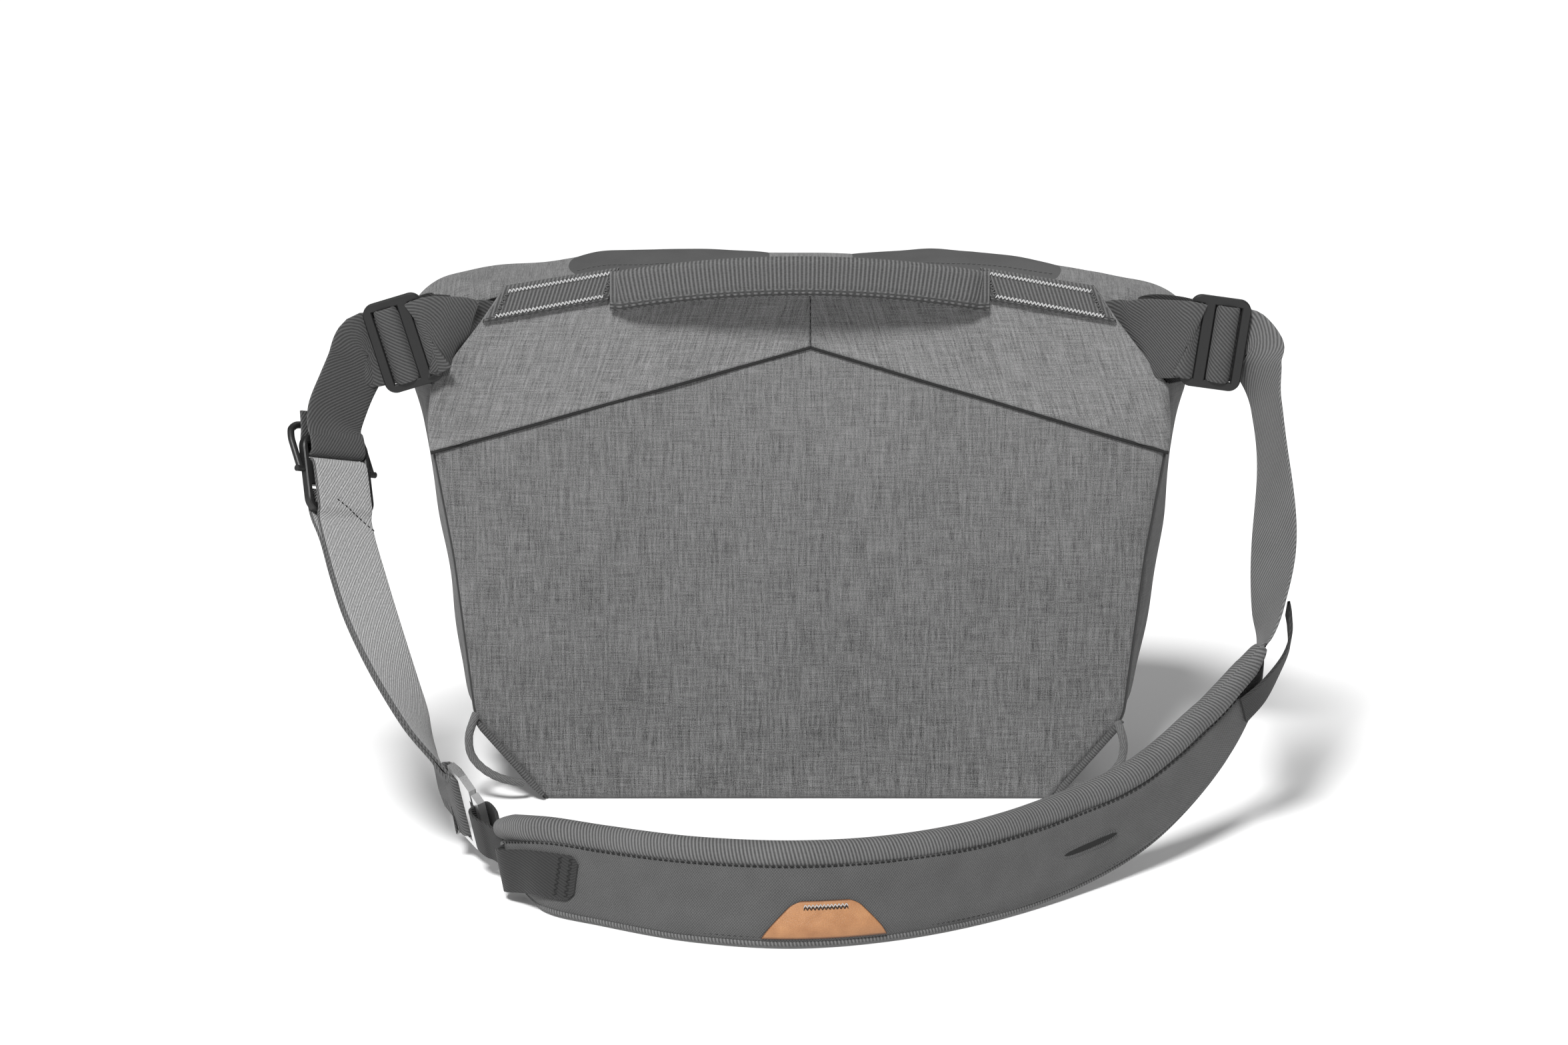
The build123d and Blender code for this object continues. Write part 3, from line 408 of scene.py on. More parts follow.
def span(bottom, top, left, right, s, t):
    """Points between four border lines with shared corners: the two straight blends added, less the corners' blend."""
    s, t = s[None, :, None], t[:, None, None]
    straight = (1 - t) * bottom[None] + t * top[None] + (1 - s) * left[:, None] + s * right[:, None]
    corners = (1 - s) * (1 - t) * bottom[0] + s * (1 - t) * bottom[-1] + (1 - s) * t * top[0] + s * t * top[-1]
    return straight - corners


def patch(low, high, side, s, t, blur=0.0):
    """Points between a lower and an upper line and a right-hand side that the left mirrors; blur softens the sides."""
    side = even(side, t, blur)
    return span(even(low, s), even(high, s), side * (-1, 1), side, s, t)


def tuck(P, radii):
    """How far a sheet turns back near its left, right, lower and upper borders: quarter circles, joined at corners."""
    wide = np.linalg.norm(P[:, -1] - P[:, 0], axis=-1)[:, None]
    tall = np.linalg.norm(P[-1] - P[0], axis=-1)[None, :]
    s = np.linalg.norm(P - P[:, :1], axis=-1) / np.maximum(wide, 1e-6)
    t = np.linalg.norm(P - P[:1], axis=-1) / np.maximum(tall, 1e-6)
    deep = 0.0
    for gap, radius in zip((s * wide, (1 - s) * wide, t * tall, (1 - t) * tall), radii):
        past = np.clip(radius - np.abs(gap), 0, radius)
        deep = np.maximum(deep, radius - np.sqrt(np.maximum(radius**2 - past**2, 0)))
    return deep


def ripple(a, b, size, seed, count=14):
    """Soft creases between about -1 and 1: sine waves of random heading and phase, about size mm long, summed."""
    rng = np.random.default_rng(seed)
    heading, phase = rng.uniform(0, np.pi, count), rng.uniform(0, 2 * np.pi, count)
    rate = 2 * np.pi / (size * rng.uniform(0.6, 1.7, count))
    wave = (a[..., None] * np.cos(heading) + b[..., None] * np.sin(heading)) * rate + phase
    return np.sin(wave).sum(-1) / np.sqrt(count)


def along(route, step=1.5):
    """Even stations (centre, width direction, width) on the Catmull-Rom curve through a route's stations."""
    knots = np.array([(*c, *unit(np.array(w, float)), width) for c, w, width in route])
    ext = np.vstack([2 * knots[0] - knots[1], knots, 2 * knots[-1] - knots[-2]])
    fine = np.linspace(0, len(knots) - 1 - 1e-9, 40 * (len(knots) - 1) + 1)
    i = fine.astype(int)
    t = (fine - i)[:, None]
    a, b, c, d = ext[i], ext[i + 1], ext[i + 2], ext[i + 3]
    curve = 0.5 * (2 * b + (c - a) * t + (2 * a - 5 * b + 4 * c - d) * t**2 + (3 * b - a - 3 * c + d) * t**3)
    run = np.r_[0, np.cumsum(np.linalg.norm(np.diff(curve[:, :3], axis=0), axis=1))]
    at = np.linspace(0, run[-1], max(int(run[-1] / step) + 1, 4))
    return np.stack([np.interp(at, run, curve[:, k]) for k in range(7)], 1)


def stations(centres, width_direction, width):
    """Stations on a line of centres, with one width direction and width or one for each."""
    n = len(centres)
    return np.column_stack([centres, np.broadcast_to(width_direction, (n, 3)), np.broadcast_to(width, (n,))])


def axes(curve):
    """Centres, travel, width and normal directions of stations; the normal is travel x width."""
    C = curve[:, :3]
    T = unit(np.gradient(C, axis=0))
    A = unit(curve[:, 3:6] - T * (curve[:, 3:6] * T).sum(1, keepdims=True))
    return C, T, A, np.cross(T, A)


def sweep(curve, a, b):
    """Points at a mm along the width and b mm along the normal, for every station and section point."""
    C, _, A, N = axes(curve)
    a, b = (np.broadcast_to(k, (len(C), np.shape(k)[-1]))[..., None] for k in (a, b))
    return C[:, None] + A[:, None] * a + N[:, None] * b


def web(name, curve, thick, body, finish, slot, stands_for=(), swell=None, **more):
    """Flat webbing with soft selvedges: a thin section, along one face and back along the other."""
    across = np.array([-0.985, -0.94, -0.8, -0.5, -0.2, 0.2, 0.5, 0.8, 0.94, 0.985])
    share = np.r_[across, 1.0, across[::-1], -1.0]
    lift = np.r_[np.full(10, 0.5), 0.0, np.full(10, -0.5), 0.0] * thick
    lift[[0, 9, 11, 20]] *= 0.75
    half = curve[:, 6:7] / 2
    b = lift[None, :] + np.zeros_like(half)
    if swell is not None:
        b = b + swell(share[None, :], np.linspace(0, 1, len(curve))[:, None])
    return grid(name, sweep(curve, half * share, b), body, finish, slot, stands_for, ring=True, caps=True, **more)


def pipe(name, curve, wide, deep, body, finish, slot, stands_for=(), shift=0.0, sides=16, **more):
    """A round or flat cord along stations, wide mm along the width and deep mm along the normal from its middle."""
    turn = -np.linspace(0, 2 * np.pi, sides + 1)[:-1]
    P = sweep(curve, shift + wide * np.cos(turn)[None], deep * np.sin(turn)[None])
    return grid(name, P, body, finish, slot, stands_for, ring=True, caps=True, **more)


# A small bead of thread, along x: four rings of six points, and a point at each end.
_turn = np.arange(6) * np.pi / 3
_ring = np.stack([np.zeros(6), np.cos(_turn), np.sin(_turn)], 1)
_rings = [_ring * wide + [at, 0, 0] for wide, at in ((0.6, -0.42), (1.0, -0.2), (1.0, 0.2), (0.6, 0.42))]
BEAD = np.vstack(_rings + [[[-0.5, 0, 0], [0.5, 0, 0]]])
_k, _next = np.arange(6), (np.arange(6) + 1) % 6
BEAD_QUADS = np.concatenate([np.stack([r + _next, r + 6 + _next, r + 6 + _k, r + _k], 1) for r in (0, 6, 12)])
BEAD_ENDS = np.stack([np.r_[_next, 18 + _k], np.r_[_k, 18 + _next], np.repeat((24, 25), 6)], 1)


def thread(name, P, aim, normal, length, width, body, finish):
    """Stitches: one bead at each point, laid along its aim and flattened onto its normal."""
    P, aim, normal = (np.atleast_2d(np.asarray(x, float)) for x in (P, aim, normal))
    aim, normal = (np.broadcast_to(x, P.shape) for x in (aim, normal))
    aim = unit(aim - normal * (aim * normal).sum(1, keepdims=True))
    side = np.cross(normal, aim)
    x, y, z = np.split(BEAD[None], 3, axis=2)
    shape = aim[:, None] * x * length + side[:, None] * y * width / 2 + normal[:, None] * z * width / 2.6
    verts = (P[:, None] + shape).reshape(-1, 3)
    shift = (np.arange(len(P)) * len(BEAD))[:, None, None]
    quads = (BEAD_QUADS[None] + shift).reshape(-1, 4)
    ends = (BEAD_ENDS[None] + shift).reshape(-1, 3)
    uvs = np.zeros((quads.size + ends.size, 2))
    return put(name, verts, [quads, ends], uvs, body, finish, crease=80.0)


def stitch_line(line, pitch):
    """Even points on a line and the heading at each."""
    run = np.linalg.norm(np.diff(line, axis=0), axis=1).sum()
    points = even(line, max(int(run / pitch), 3))
    return points, unit(np.gradient(points, axis=0))


def along_seam(name, line, normals, pitch, length, width, body, finish):
    """A row of stitches on a line whose face turns with the normals."""
    P, aim = stitch_line(line, pitch)
    share, at = np.linspace(0, 1, len(P)), np.linspace(0, 1, len(normals))
    faces = np.stack([np.interp(share, at, normals[:, j]) for j in range(3)], 1)
    thread(name, P, aim, faces, length, width, body, finish)


def zigzag(count):
    """1 and -1 by turns, as a column."""
    return np.where(np.arange(count) % 2 == 0, 1.0, -1.0)[:, None]


# ---------------------------------------------------------------- the bag's measures, as in the model
BACK_Y, FRONT_Y = -66.0, 64.0
SIDE = np.array([(132, 0), (170, 44), (180, 130), (192, 200), (190, 222), (164, 255)], float)
TOP = np.array([(164, 255), (150, 275.5), (0, 284)], float)


def front_y(z):
    return FRONT_Y - 24.0 * z / 222.0


def parting_z(y):
    return 246.0 - 24.0 * (y - BACK_Y) / (front_y(222.0) - BACK_Y)


def half_width(z):
    full = np.vstack([SIDE, TOP[1:]])
    return np.interp(z, full[:, 1], full[:, 0])


def belly(x, z):
    """How far the padded back stands out: a crown that dies away towards the sides, the base and the top."""
    side = np.clip(np.abs(x) / half_width(np.clip(z, 0, 270)), 0, 1)
    rise = np.clip(np.abs(z - 128) / 128, 0, 1)
    soft = 0.5 * ripple(x, z * 0.6, 90, 5) * (1 - side**4)
    return 2.6 * (1 - side**4) * (1 - rise**3) + soft * (1 - rise**6)


def back_sheet(P, lift, radii):
    """Lays flat (x, z) points on the padded back, lift mm proud, turned back at its borders."""
    flat = np.stack([P[..., 0], np.zeros(P.shape[:2]), P[..., 1]], -1)
    y = BACK_Y + 1.8 - belly(P[..., 0], P[..., 1]) - lift + tuck(flat, radii)
    return np.stack([P[..., 0], y, P[..., 1]], -1), P * MM


def back():
    """The lower panel over the whole back, and the two yokes that lap over it and meet at a seam, with a dark cord
    under each yoke's lapped edge as a painted shadow.
    """
    s, t = close_ends(150), close_ends(130)
    side = even(SIDE, t, 9)
    left = side * (-1, 1)
    low = np.array([(-132.0, 0.0), (132.0, 0.0)])
    top = even(np.vstack([TOP * (-1, 1), TOP[-2::-1]]), s, 4)
    P = span(even(low, s), top, left, side, s, t)
    P, uv = back_sheet(P, 0.0, (5, 5, 4, 4))
    grid("back_lower_panel", P, "bag", SHELL, "shell", ("back_panel",), uv=uv, thick=1.8, flip=True)
    SEAM = 5.5
    for name, sign in (("left", -1), ("right", 1)):
        reach, start = 190.9, SEAM * sign
        s, t = close_ends(110), close_ends(70)
        low = np.array([(start + 0.05, 243.0), (reach, 187.0)])
        top = np.array([(start + 0.05, 284.0 - 8.5 * SEAM / 150), (150, 275.5), (164, 255)])
        rim = np.array([(reach, 187.0), (192, 200), (190, 222), (164, 255)])
        mid = np.array([low[0], top[0]])
        P = span(even(low, s), even(top, s, 4), even(mid, t), even(rim, t, 4), s, t)
        turn_back = np.interp(P[:, -1:, 1], [205, 222], [5.0, 2.2])
        seam_side = np.exp(-np.abs(P[..., 0] - start) / 2.5)
        fold = np.exp(-((np.linalg.norm(P - P[:1], axis=-1) - 1.5) / 3.0) ** 2)
        puff = 0.9 * np.exp(-((P[..., 0] - 178) / 16) ** 2) * ripple(P[..., 0] * 2, P[..., 1], 26, 8 + sign)
        lift = 1.75 + 0.5 * fold - 0.35 * seam_side + 0.5 * puff
        sheet = back_sheet(P, lift, (0.6, turn_back, 1.7, 3))[0]
        sheet[..., 0] *= sign
        uv = np.stack([sheet[..., 0] + 40 * sign + 0.32 * sheet[..., 2] * sign, sheet[..., 2]], -1) * MM
        stands_for = (f"back_yoke_{name}",)
        grid(f"back_yoke_{name}_cloth", sheet, "bag", PAINTED_LIGHT_YOKE, "shell", stands_for, uv=uv, thick=1.5, flip=sign > 0)
        # painted shadow: a dark cord along the yoke's lower edge stands in for the shadow gap where the yoke laps over
        # the lower panel
        under = P[0, ::2]
        face = BACK_Y + 1.2 - belly(under[:, 0], under[:, 1])
        path = stations(np.column_stack([under[:, 0] * sign, face, under[:, 1] - 0.5]), (0.0, 0.0, 1.0), 2.0)
        pipe(f"back_yoke_{name}_edge", path, 0.9, 0.9, "bag", DARK_THREAD_AND_PAINTED_SHADE, "shell", sides=8)
    line = np.array([(SEAM, -68.3, 246.5), (SEAM, -67.8, 281.0)])
    P, aim = stitch_line(line, 3.1)
    thread("yoke_seam_stitches", P, aim, (0, -1, 0), 2.0, 0.55, "bag", DARK_THREAD_AND_PAINTED_SHADE)


def u_line(w, count):
    """The gusset ring's line at a share w of its depth: it flares towards the wings and draws in at the front."""
    flare = np.interp(w, [0, 0.33, 1.0], [0, 1, 0])
    draw = np.interp(w, [0, 0.33, 1.0], [0, 0, 12])
    half = np.array([
        (132 + 1.5 * flare, 0), (170 + 1.5 * flare - draw / 4, 44), (180 + 3 * flare - draw / 2, 130),
        (192 + 3 * flare - draw, 200), (190 + 12 * flare - draw, 218), (184 + 12 * flare - draw, 234 - 12 * w),
    ])
    return even(half, count, 10)


def gussets():
    """The two side walls and the base between the back and the sloping front, bellied between their seams."""
    rows, cols = 44, 120
    w = close_ends(rows, 0.5)
    lines = np.stack([u_line(k, cols) for k in w])
    x, z = lines[..., 0], lines[..., 1]
    y = -61.5 + (front_y(z) + 1.0 + 61.5) * w[:, None]
    run = np.linspace(0, 1, cols)[None, :]
    out = 3.2 * np.sin(np.pi * w)[:, None] * np.sin(np.pi * np.clip(run * 1.05, 0, 1)) ** 0.7
    crease = 1.4 * ripple(z * 0.45, y, 34, 3) * np.sin(np.pi * w)[:, None] * np.clip(run * 5, 0, 1)
    seam = 1.6 * (np.exp(-w[:, None] / 0.03) + np.exp(-(1 - w[:, None]) / 0.03))
    P = np.stack([x + (out + crease - seam) * np.clip(run * 8, 0, 1), y, z], -1)
    for name, sign in (("left", -1), ("right", 1)):
        more = (4.5 if sign > 0 else 0.6) * np.sin(np.pi * w)[:, None] ** 0.7 * np.exp(-(((z - 118) / 46) ** 2))
        Q = (P + np.stack([more, 0 * more, 0 * more], -1)) * (sign, 1, 1)
        uv = np.stack([y, 2.3 * np.arange(cols)[None, :] + 0 * y], -1) * MM
        grid(f"gusset_{name}_cloth", Q, "bag", GUSSET, "shell", (f"gusset_{name}",), uv=uv, thick=1.8, flip=sign < 0)
        for painted_shadow_line, row in (("back", 0), ("front", -1)):
            curve = stations(P[row] * (sign, 1, 1), (0.0, 1.0, 0.0), 3.0)
            pipe(f"gusset_{name}_{painted_shadow_line}_welt", curve, 1.5, 1.5, "bag", BINDING, "shell", sides=12)
    s, t = close_ends(90), close_ends(50)
    P = patch([(-132, -61.5), (132, -61.5)], [(-132, 65), (132, 65)], [(132, -61.5), (132, 65)], s, t)
    height = 0.2 + 0.5 * tuck(P, (3, 3, 4, 4))
    grid("base_cloth", np.dstack([P, height]), "bag", GUSSET, "shell", ("base_panel",), uv=P * MM, thick=1.8)


def front_wall():
    """The sloping front, its shallow puffed pocket, and the tapes and teeth of both zips."""
    s, t = close_ends(120), close_ends(90)
    side = [(132, 0), (167, 44), (174, 130), (180, 200), (178, 222)]
    P = patch([(-132, 0), (132, 0)], [(-178, 222), (178, 222)], side, s, t, 8)
    x, z = P[..., 0], P[..., 1]
    crown = 1.5 * (1 - (x / 180) ** 4) * np.sin(np.pi * z / 222) + 0.5 * ripple(x, z, 70, 12)
    y = front_y(z) + 1.8 + crown * np.clip((222 - z) / 40, 0, 1) - tuck(P, (4, 4, 4, 0.1))
    grid("front_cloth", np.stack([x, y, z], -1), "bag", SHELL, "shell", ("front_panel",), uv=P * MM, thick=1.8)
    s, t = close_ends(110), close_ends(80)
    P = patch([(-118, 28), (118, 28)], [(-128, 163), (128, 163)], [(118, 28), (124, 96), (128, 163)], s, t, 4)
    x, z = P[..., 0], P[..., 1]
    dome = (1 - (x / 124) ** 4) * np.sin(np.pi * np.clip((z - 28) / 135, 0, 1)) ** 0.8
    puff = 3.0 * dome + 0.8 * ripple(x, z, 60, 14)
    painted_shadow_line = tuck(P, (6, 6, 6, 6))
    y = front_y(z) + 8.0 + puff * np.clip((6 - painted_shadow_line) / 6, 0, 1) - painted_shadow_line
    cloth = np.stack([x, y, z], -1)
    pocket = grid("front_pocket_cloth", cloth, "bag", SHELL, "shell", ("front_pocket",), uv=P * MM + 0.3, thick=1.6)
    slope = unit(np.array([0.0, -24.0, 222.0]))
    out = unit(np.array([0.0, 222.0, 24.0]))

    def level(z, lift, x):
        """Points at x along the level line of the slope at height z, lift mm in front of its flat face."""
        return np.array([0.0, front_y(z) + lift, z]) + x[:, None] * [1.0, 0, 0]

    def tape(name, node, z, half, low, high, body="bag", lift=0.0):
        """A strip along the slope's level line, from low to high up the slope."""
        c = level(z, 2.1 + lift, np.linspace(-half, half, 90)) + slope * (low + high) / 2 + out * 0.6
        web(name, stations(c, slope, high - low), 1.2, body, TAPE, "webbing_dark", (node,))

    def teeth(name, z, half, low, body, lift):
        P = level(z, 2.1 + lift, np.arange(-half + 2, half - 2, 1.6)) + slope * low
        thread(name, P, slope, out, 2.4, 1.3, body, COIL)

    MAIN, POCKET = (222.0, 150), (177.0, 112)
    tape("main_tape_body_cloth", "main_zip_tape_body", *MAIN, -9, -0.1)
    tape("main_tape_lid_cloth", "main_zip_tape_lid", *MAIN, 0.6, 9, "lid", 1.0)
    teeth("main_teeth_body", *MAIN, -1.0, "bag", 1.7)
    teeth("main_teeth_lid", *MAIN, 1.2, "lid", 2.4)
    tape("pocket_tape_lower_cloth", "pocket_zip_tape_lower", *POCKET, -9, -1.6)
    tape("pocket_tape_upper_cloth", "pocket_zip_tape_upper", *POCKET, 1.6, 9)
    core = stations(level(177.0, 2.1, np.linspace(-112, 112, 90)) + out * 0.8, slope, 3.0)
    web("pocket_coil_core", core, 1.6, "bag", COIL, "zip_metal", ("pocket_zip_coil",))
    teeth("pocket_teeth_low", *POCKET, -0.8, "bag", 1.9)
    teeth("pocket_teeth_high", *POCKET, 0.8, "bag", 1.9)
    rows = (("main_low", 222.0, -7.4, 148), ("pocket_low", 177.0, -7.2, 110), ("pocket_high", 177.0, 7.4, 110))
    for label, z, up, half in rows:
        P = level(z, 3.4, np.arange(-half, half, 3.0)) + slope * up
        thread(f"{label}_stitches", P, (1, 0, 0), out, 2.2, 0.5, "bag", GREY_THREAD)


def inside():
    """The padded lining: a U wall, a back and a front wall, and the bound rim round the opening."""
    w = np.linspace(0, 1, 30)
    full = np.stack([u_line(k, 150) for k in w])
    heading = unit(np.gradient(full, axis=1))
    inner = full + np.stack([-heading[..., 1], heading[..., 0]], -1) * 6.9
    base = np.linspace(-1, 1, 61)[1:-1]
    bottom = np.stack([base[None, :] * inner[:, :1, 0], np.full((30, len(base)), 6.9)], -1)
    line = np.concatenate([inner[:, ::-1] * (-1, 1), bottom, inner], 1)
    x, z = line[..., 0], np.maximum(line[..., 1], 6.9)
    P = np.stack([x, -56.0 + (front_y(z) + 51.0) * w[:, None], z], -1)
    stands_for = ("lining", "foam_left", "foam_right", "foam_base")
    grid("lining_wall", P, "bag", LINING, "lining", stands_for, thick=4.6, flip=True)
    s = t = close_ends(60, 0.3)
    side = [(128, 7), (164, 46), (174, 130), (185, 200), (182, 232)]
    B = patch([(-128, 7), (128, 7)], [(-182, 232), (182, 232)], side, s, t, 8)
    quilt = 0.21 * np.cos(B[..., 0] / 9.0) * np.cos(B[..., 1] / 9.0)
    P = np.stack([B[..., 0], -56.6 + quilt, B[..., 1]], -1)
    grid("lining_back", P, "bag", LINING, "lining", ("foam_back",), uv=B * MM, thick=4.8)
    side = [(128, 7), (161, 46), (168, 130), (172, 200), (170, 219)]
    B = patch([(-128, 7), (128, 7)], [(-170, 219), (170, 219)], side, s, t, 8)
    P = np.stack([B[..., 0], front_y(B[..., 1]) - 5.0, B[..., 1]], -1)
    grid("lining_front", P, "bag", LINING, "lining", ("foam_front",), uv=B * MM, thick=4.6, flip=True)
    ends = np.stack([u_line(k, 60)[-1] for k in w])
    sides = np.stack([ends[:, 0] - 3.6, -60.0 + (front_y(222) + 60.0) * w, ends[:, 1] - 1.2], -1)
    frontal = np.stack([np.linspace(168, -168, 60), np.full(60, front_y(220) - 1.0), np.full(60, 219.8)], -1)
    loop = np.concatenate([sides, frontal, sides[::-1] * (-1, 1, 1)])
    loop = even(loop, 260, 6)
    across = np.cross(unit(np.gradient(loop, axis=0)), (0.0, 0.0, 1.0))
    pipe("rim_binding", stations(loop, across, 8.6), 4.3, 1.9, "bag", BINDING, "lining")


def dividers():
    """Padded walls: a slab whose two faces close to a seam at its borders, remeshed evenly and swollen as cloth."""
    for name in ("left", "right"):
        low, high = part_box(f"divider_{name}")
        low, high = np.array(low) / MM, np.array(high) / MM
        s, t = close_ends(40, 0.5), close_ends(60, 0.5)
        y0, y1, z0, z1 = low[1] + 0.6, front_y(low[2]) - 6.2, low[2] + 0.4, high[2] - 0.3
        a, b, c, d = (y0, z0), (y1, z0), (y0, z1), (front_y(z1) - 6.2, z1)
        P = span(even([a, b], s), even([c, d], s), even([a, c], t), even([b, d], t), s, t)
        deep = tuck(P, (3.2, 3.2, 3.2, 3.2))
        middle = (low[0] + high[0]) / 2
        face = np.stack([middle + 3.4 - deep, P[..., 0], P[..., 1]], -1)
        other = face * (-1, 1, 1) + (2 * middle, 0, 0)
        ring = np.concatenate([face, other[:, ::-1]], 1)
        piece = grid(f"divider_{name}_pad", ring, None, DIVIDER, "divider", ring=True, caps=True)
        swell(piece, 1.2)
        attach(piece, "bag")
        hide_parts(f"divider_{name}")


def swell(piece, cap):
    """Blows the piece up as cloth for 20 frames, then holds every point within cap mm of where it began."""
    bpy.context.view_layer.objects.active = piece
    for other in bpy.context.selected_objects:
        other.select_set(False)
    piece.select_set(True)
    fill = piece.modifiers.new("even", "REMESH")
    fill.mode, fill.voxel_size = "VOXEL", 0.0035
    bpy.ops.object.modifier_apply(modifier="even")
    start = np.empty(len(piece.data.vertices) * 3)
    piece.data.vertices.foreach_get("co", start)
    cloth = piece.modifiers.new("cloth", "CLOTH")
    cloth.settings.use_pressure, cloth.settings.uniform_pressure_force = True, 4.0
    cloth.settings.effector_weights.gravity = 0.0
    scene.frame_start, scene.frame_end = 1, 20
    for k in range(1, 21):
        scene.frame_set(k)
    grown = piece.evaluated_get(bpy.context.evaluated_depsgraph_get()).to_mesh()
    end = np.empty(len(start))
    grown.vertices.foreach_get("co", end)
    piece.modifiers.remove(cloth)
    start, move = start.reshape(-1, 3), (end - start).reshape(-1, 3)
    far = np.linalg.norm(move, axis=1, keepdims=True)
    move *= np.minimum(1.0, cap * MM / np.maximum(far, 1e-9))
    piece.data.vertices.foreach_set("co", (start + move).ravel())
    piece.data.update()
    scene.frame_set(1)
    piece.data.polygons.foreach_set("use_smooth", np.ones(len(piece.data.polygons), bool))
    smooth = piece.modifiers.new("round", "SUBSURF")
    smooth.levels = smooth.render_levels = 1


# ---------------------------------------------------------------- lid
LID_Y = np.array([-60.5, -25.0, 14.0, 41.0])
LID_LINES = (
    ((0, 278.5), (95, 276.0), (148, 271.0), (166, 264.5), (175, 256.0), (176.5, 247.5)),
    ((0, 279.0), (95, 277.5), (150, 275.0), (184, 272.0), (200, 261.0), (203, 243.0)),
    ((0, 272.0), (95, 271.0), (148, 264.0), (180, 253.0), (190, 241.0), (191, 233.0)),
    ((0, 232.6), (95, 232.2), (140, 230.9), (160, 228.4), (170, 225.8), (173, 223.8)),
)


def lid_surface(cols, rows):
    """Points of the lid: its four arches, each softened, joined by the cubic through them; rows run back to front."""
    lines = []
    for half in LID_LINES:
        half = np.array(half, float)
        lines.append(even(np.vstack([half[::-1] * (-1, 1), half[1:]]), cols, 16))
    y = LID_Y[0] + (LID_Y[-1] - LID_Y[0]) * rows
    others = [[j for j in range(4) if j != i] for i in range(4)]
    weight = np.stack([np.prod([(y - LID_Y[j]) / (LID_Y[i] - LID_Y[j]) for j in others[i]], axis=0) for i in range(4)])
    xz = np.tensordot(weight.T, np.stack(lines), 1)
    P = np.stack([xz[..., 0], np.broadcast_to(y[:, None], xz.shape[:2]), xz[..., 1]], -1)
    P[..., 2] -= 3.2 * np.clip((P[..., 0] - 90) / 60, 0, 1) * np.clip((P[..., 2] - 245) / 25, 0, 1)
    side = np.abs(P[..., 0])
    pucker = np.exp(-((side - 168) / 24) ** 2) * np.exp(-((P[..., 1] + 44) / 18) ** 2)
    P[..., 2] += 1.1 * pucker * np.sin(side / 3.4 + P[..., 1] / 9 + np.sign(P[..., 0])) + 0.8 * pucker
    P[..., 2] += 0.7 * ripple(P[..., 0], P[..., 1] * 1.5, 70, 21) * np.sin(np.pi * np.clip(rows, 0, 1))[:, None]
    return P


def lid():
    """The lid's padded dome with its front lip, and the two coated humps on its top."""
    cols, rows = close_ends(190, 0.4), np.linspace(0, 1, 70)
    P = lid_surface(cols, rows)
    foot = parting_z(P[..., 1]) + 0.6
    P[..., 2] = np.maximum(P[..., 2], foot)
    last = P[-1]
    drop = np.repeat(last[None], 8, 0)
    angle = np.linspace(0, np.pi / 2, 9)[1:, None]
    drop[..., 1] += 1.8 * np.sin(angle)
    down = np.maximum(last[:, 2] - 222.7, 0.2)
    drop[..., 2] = last[None, :, 2] - down[None] * (1 - np.cos(angle)) ** 0.8
    P = np.concatenate([P, drop])
    uv = np.stack([P[..., 0], P[..., 1] * 1.15], -1) * MM
    piece = grid("lid_cloth", P, "lid", SHELL, "shell", ("lid_panel",), uv=uv, thick=2.6, flip=True)
    piece.data.materials.append(LINING)
    piece.modifiers["wall"].material_offset = 1
    piece.modifiers["wall"].material_offset_rim = 0
    for name, a, b in (("left", -123.0, -12.0), ("right", 24.0, 139.0)):
        line = lid_surface(np.linspace(0, 1, 400), np.array([0.4]))[0]
        spread = np.interp(np.linspace(a, b, 90), line[:, 0], np.linspace(0, 1, 400))
        rows = np.linspace(0.14, 0.80, 60)
        Q = lid_surface(spread, rows)
        s, t = np.linspace(-1, 1, 90)[None, :], np.linspace(-1, 1, 60)[:, None]
        rise = (1 - np.abs(s) ** 3.2) * np.sqrt(1 - np.abs(t) ** 2.6)
        soft = 0.6 * ripple(Q[..., 0], Q[..., 1], 42, 200 + int(a))
        Q[..., 2] += -0.8 + (4.0 + soft) * rise
        Q[..., 1] -= 3.0 * rise
        grid(f"lid_hump_{name}", Q, "lid", HUMP, "coated", thick=1.0, flip=True)
        P, aim = stitch_line(Q[14, 6:-6] + (0, -0.2, 0.25), 2.6)
        thread(f"lid_hump_{name}_stitches", P, aim, (0.0, -0.6, 0.8), 1.9, 0.45, "lid", GREY_THREAD)


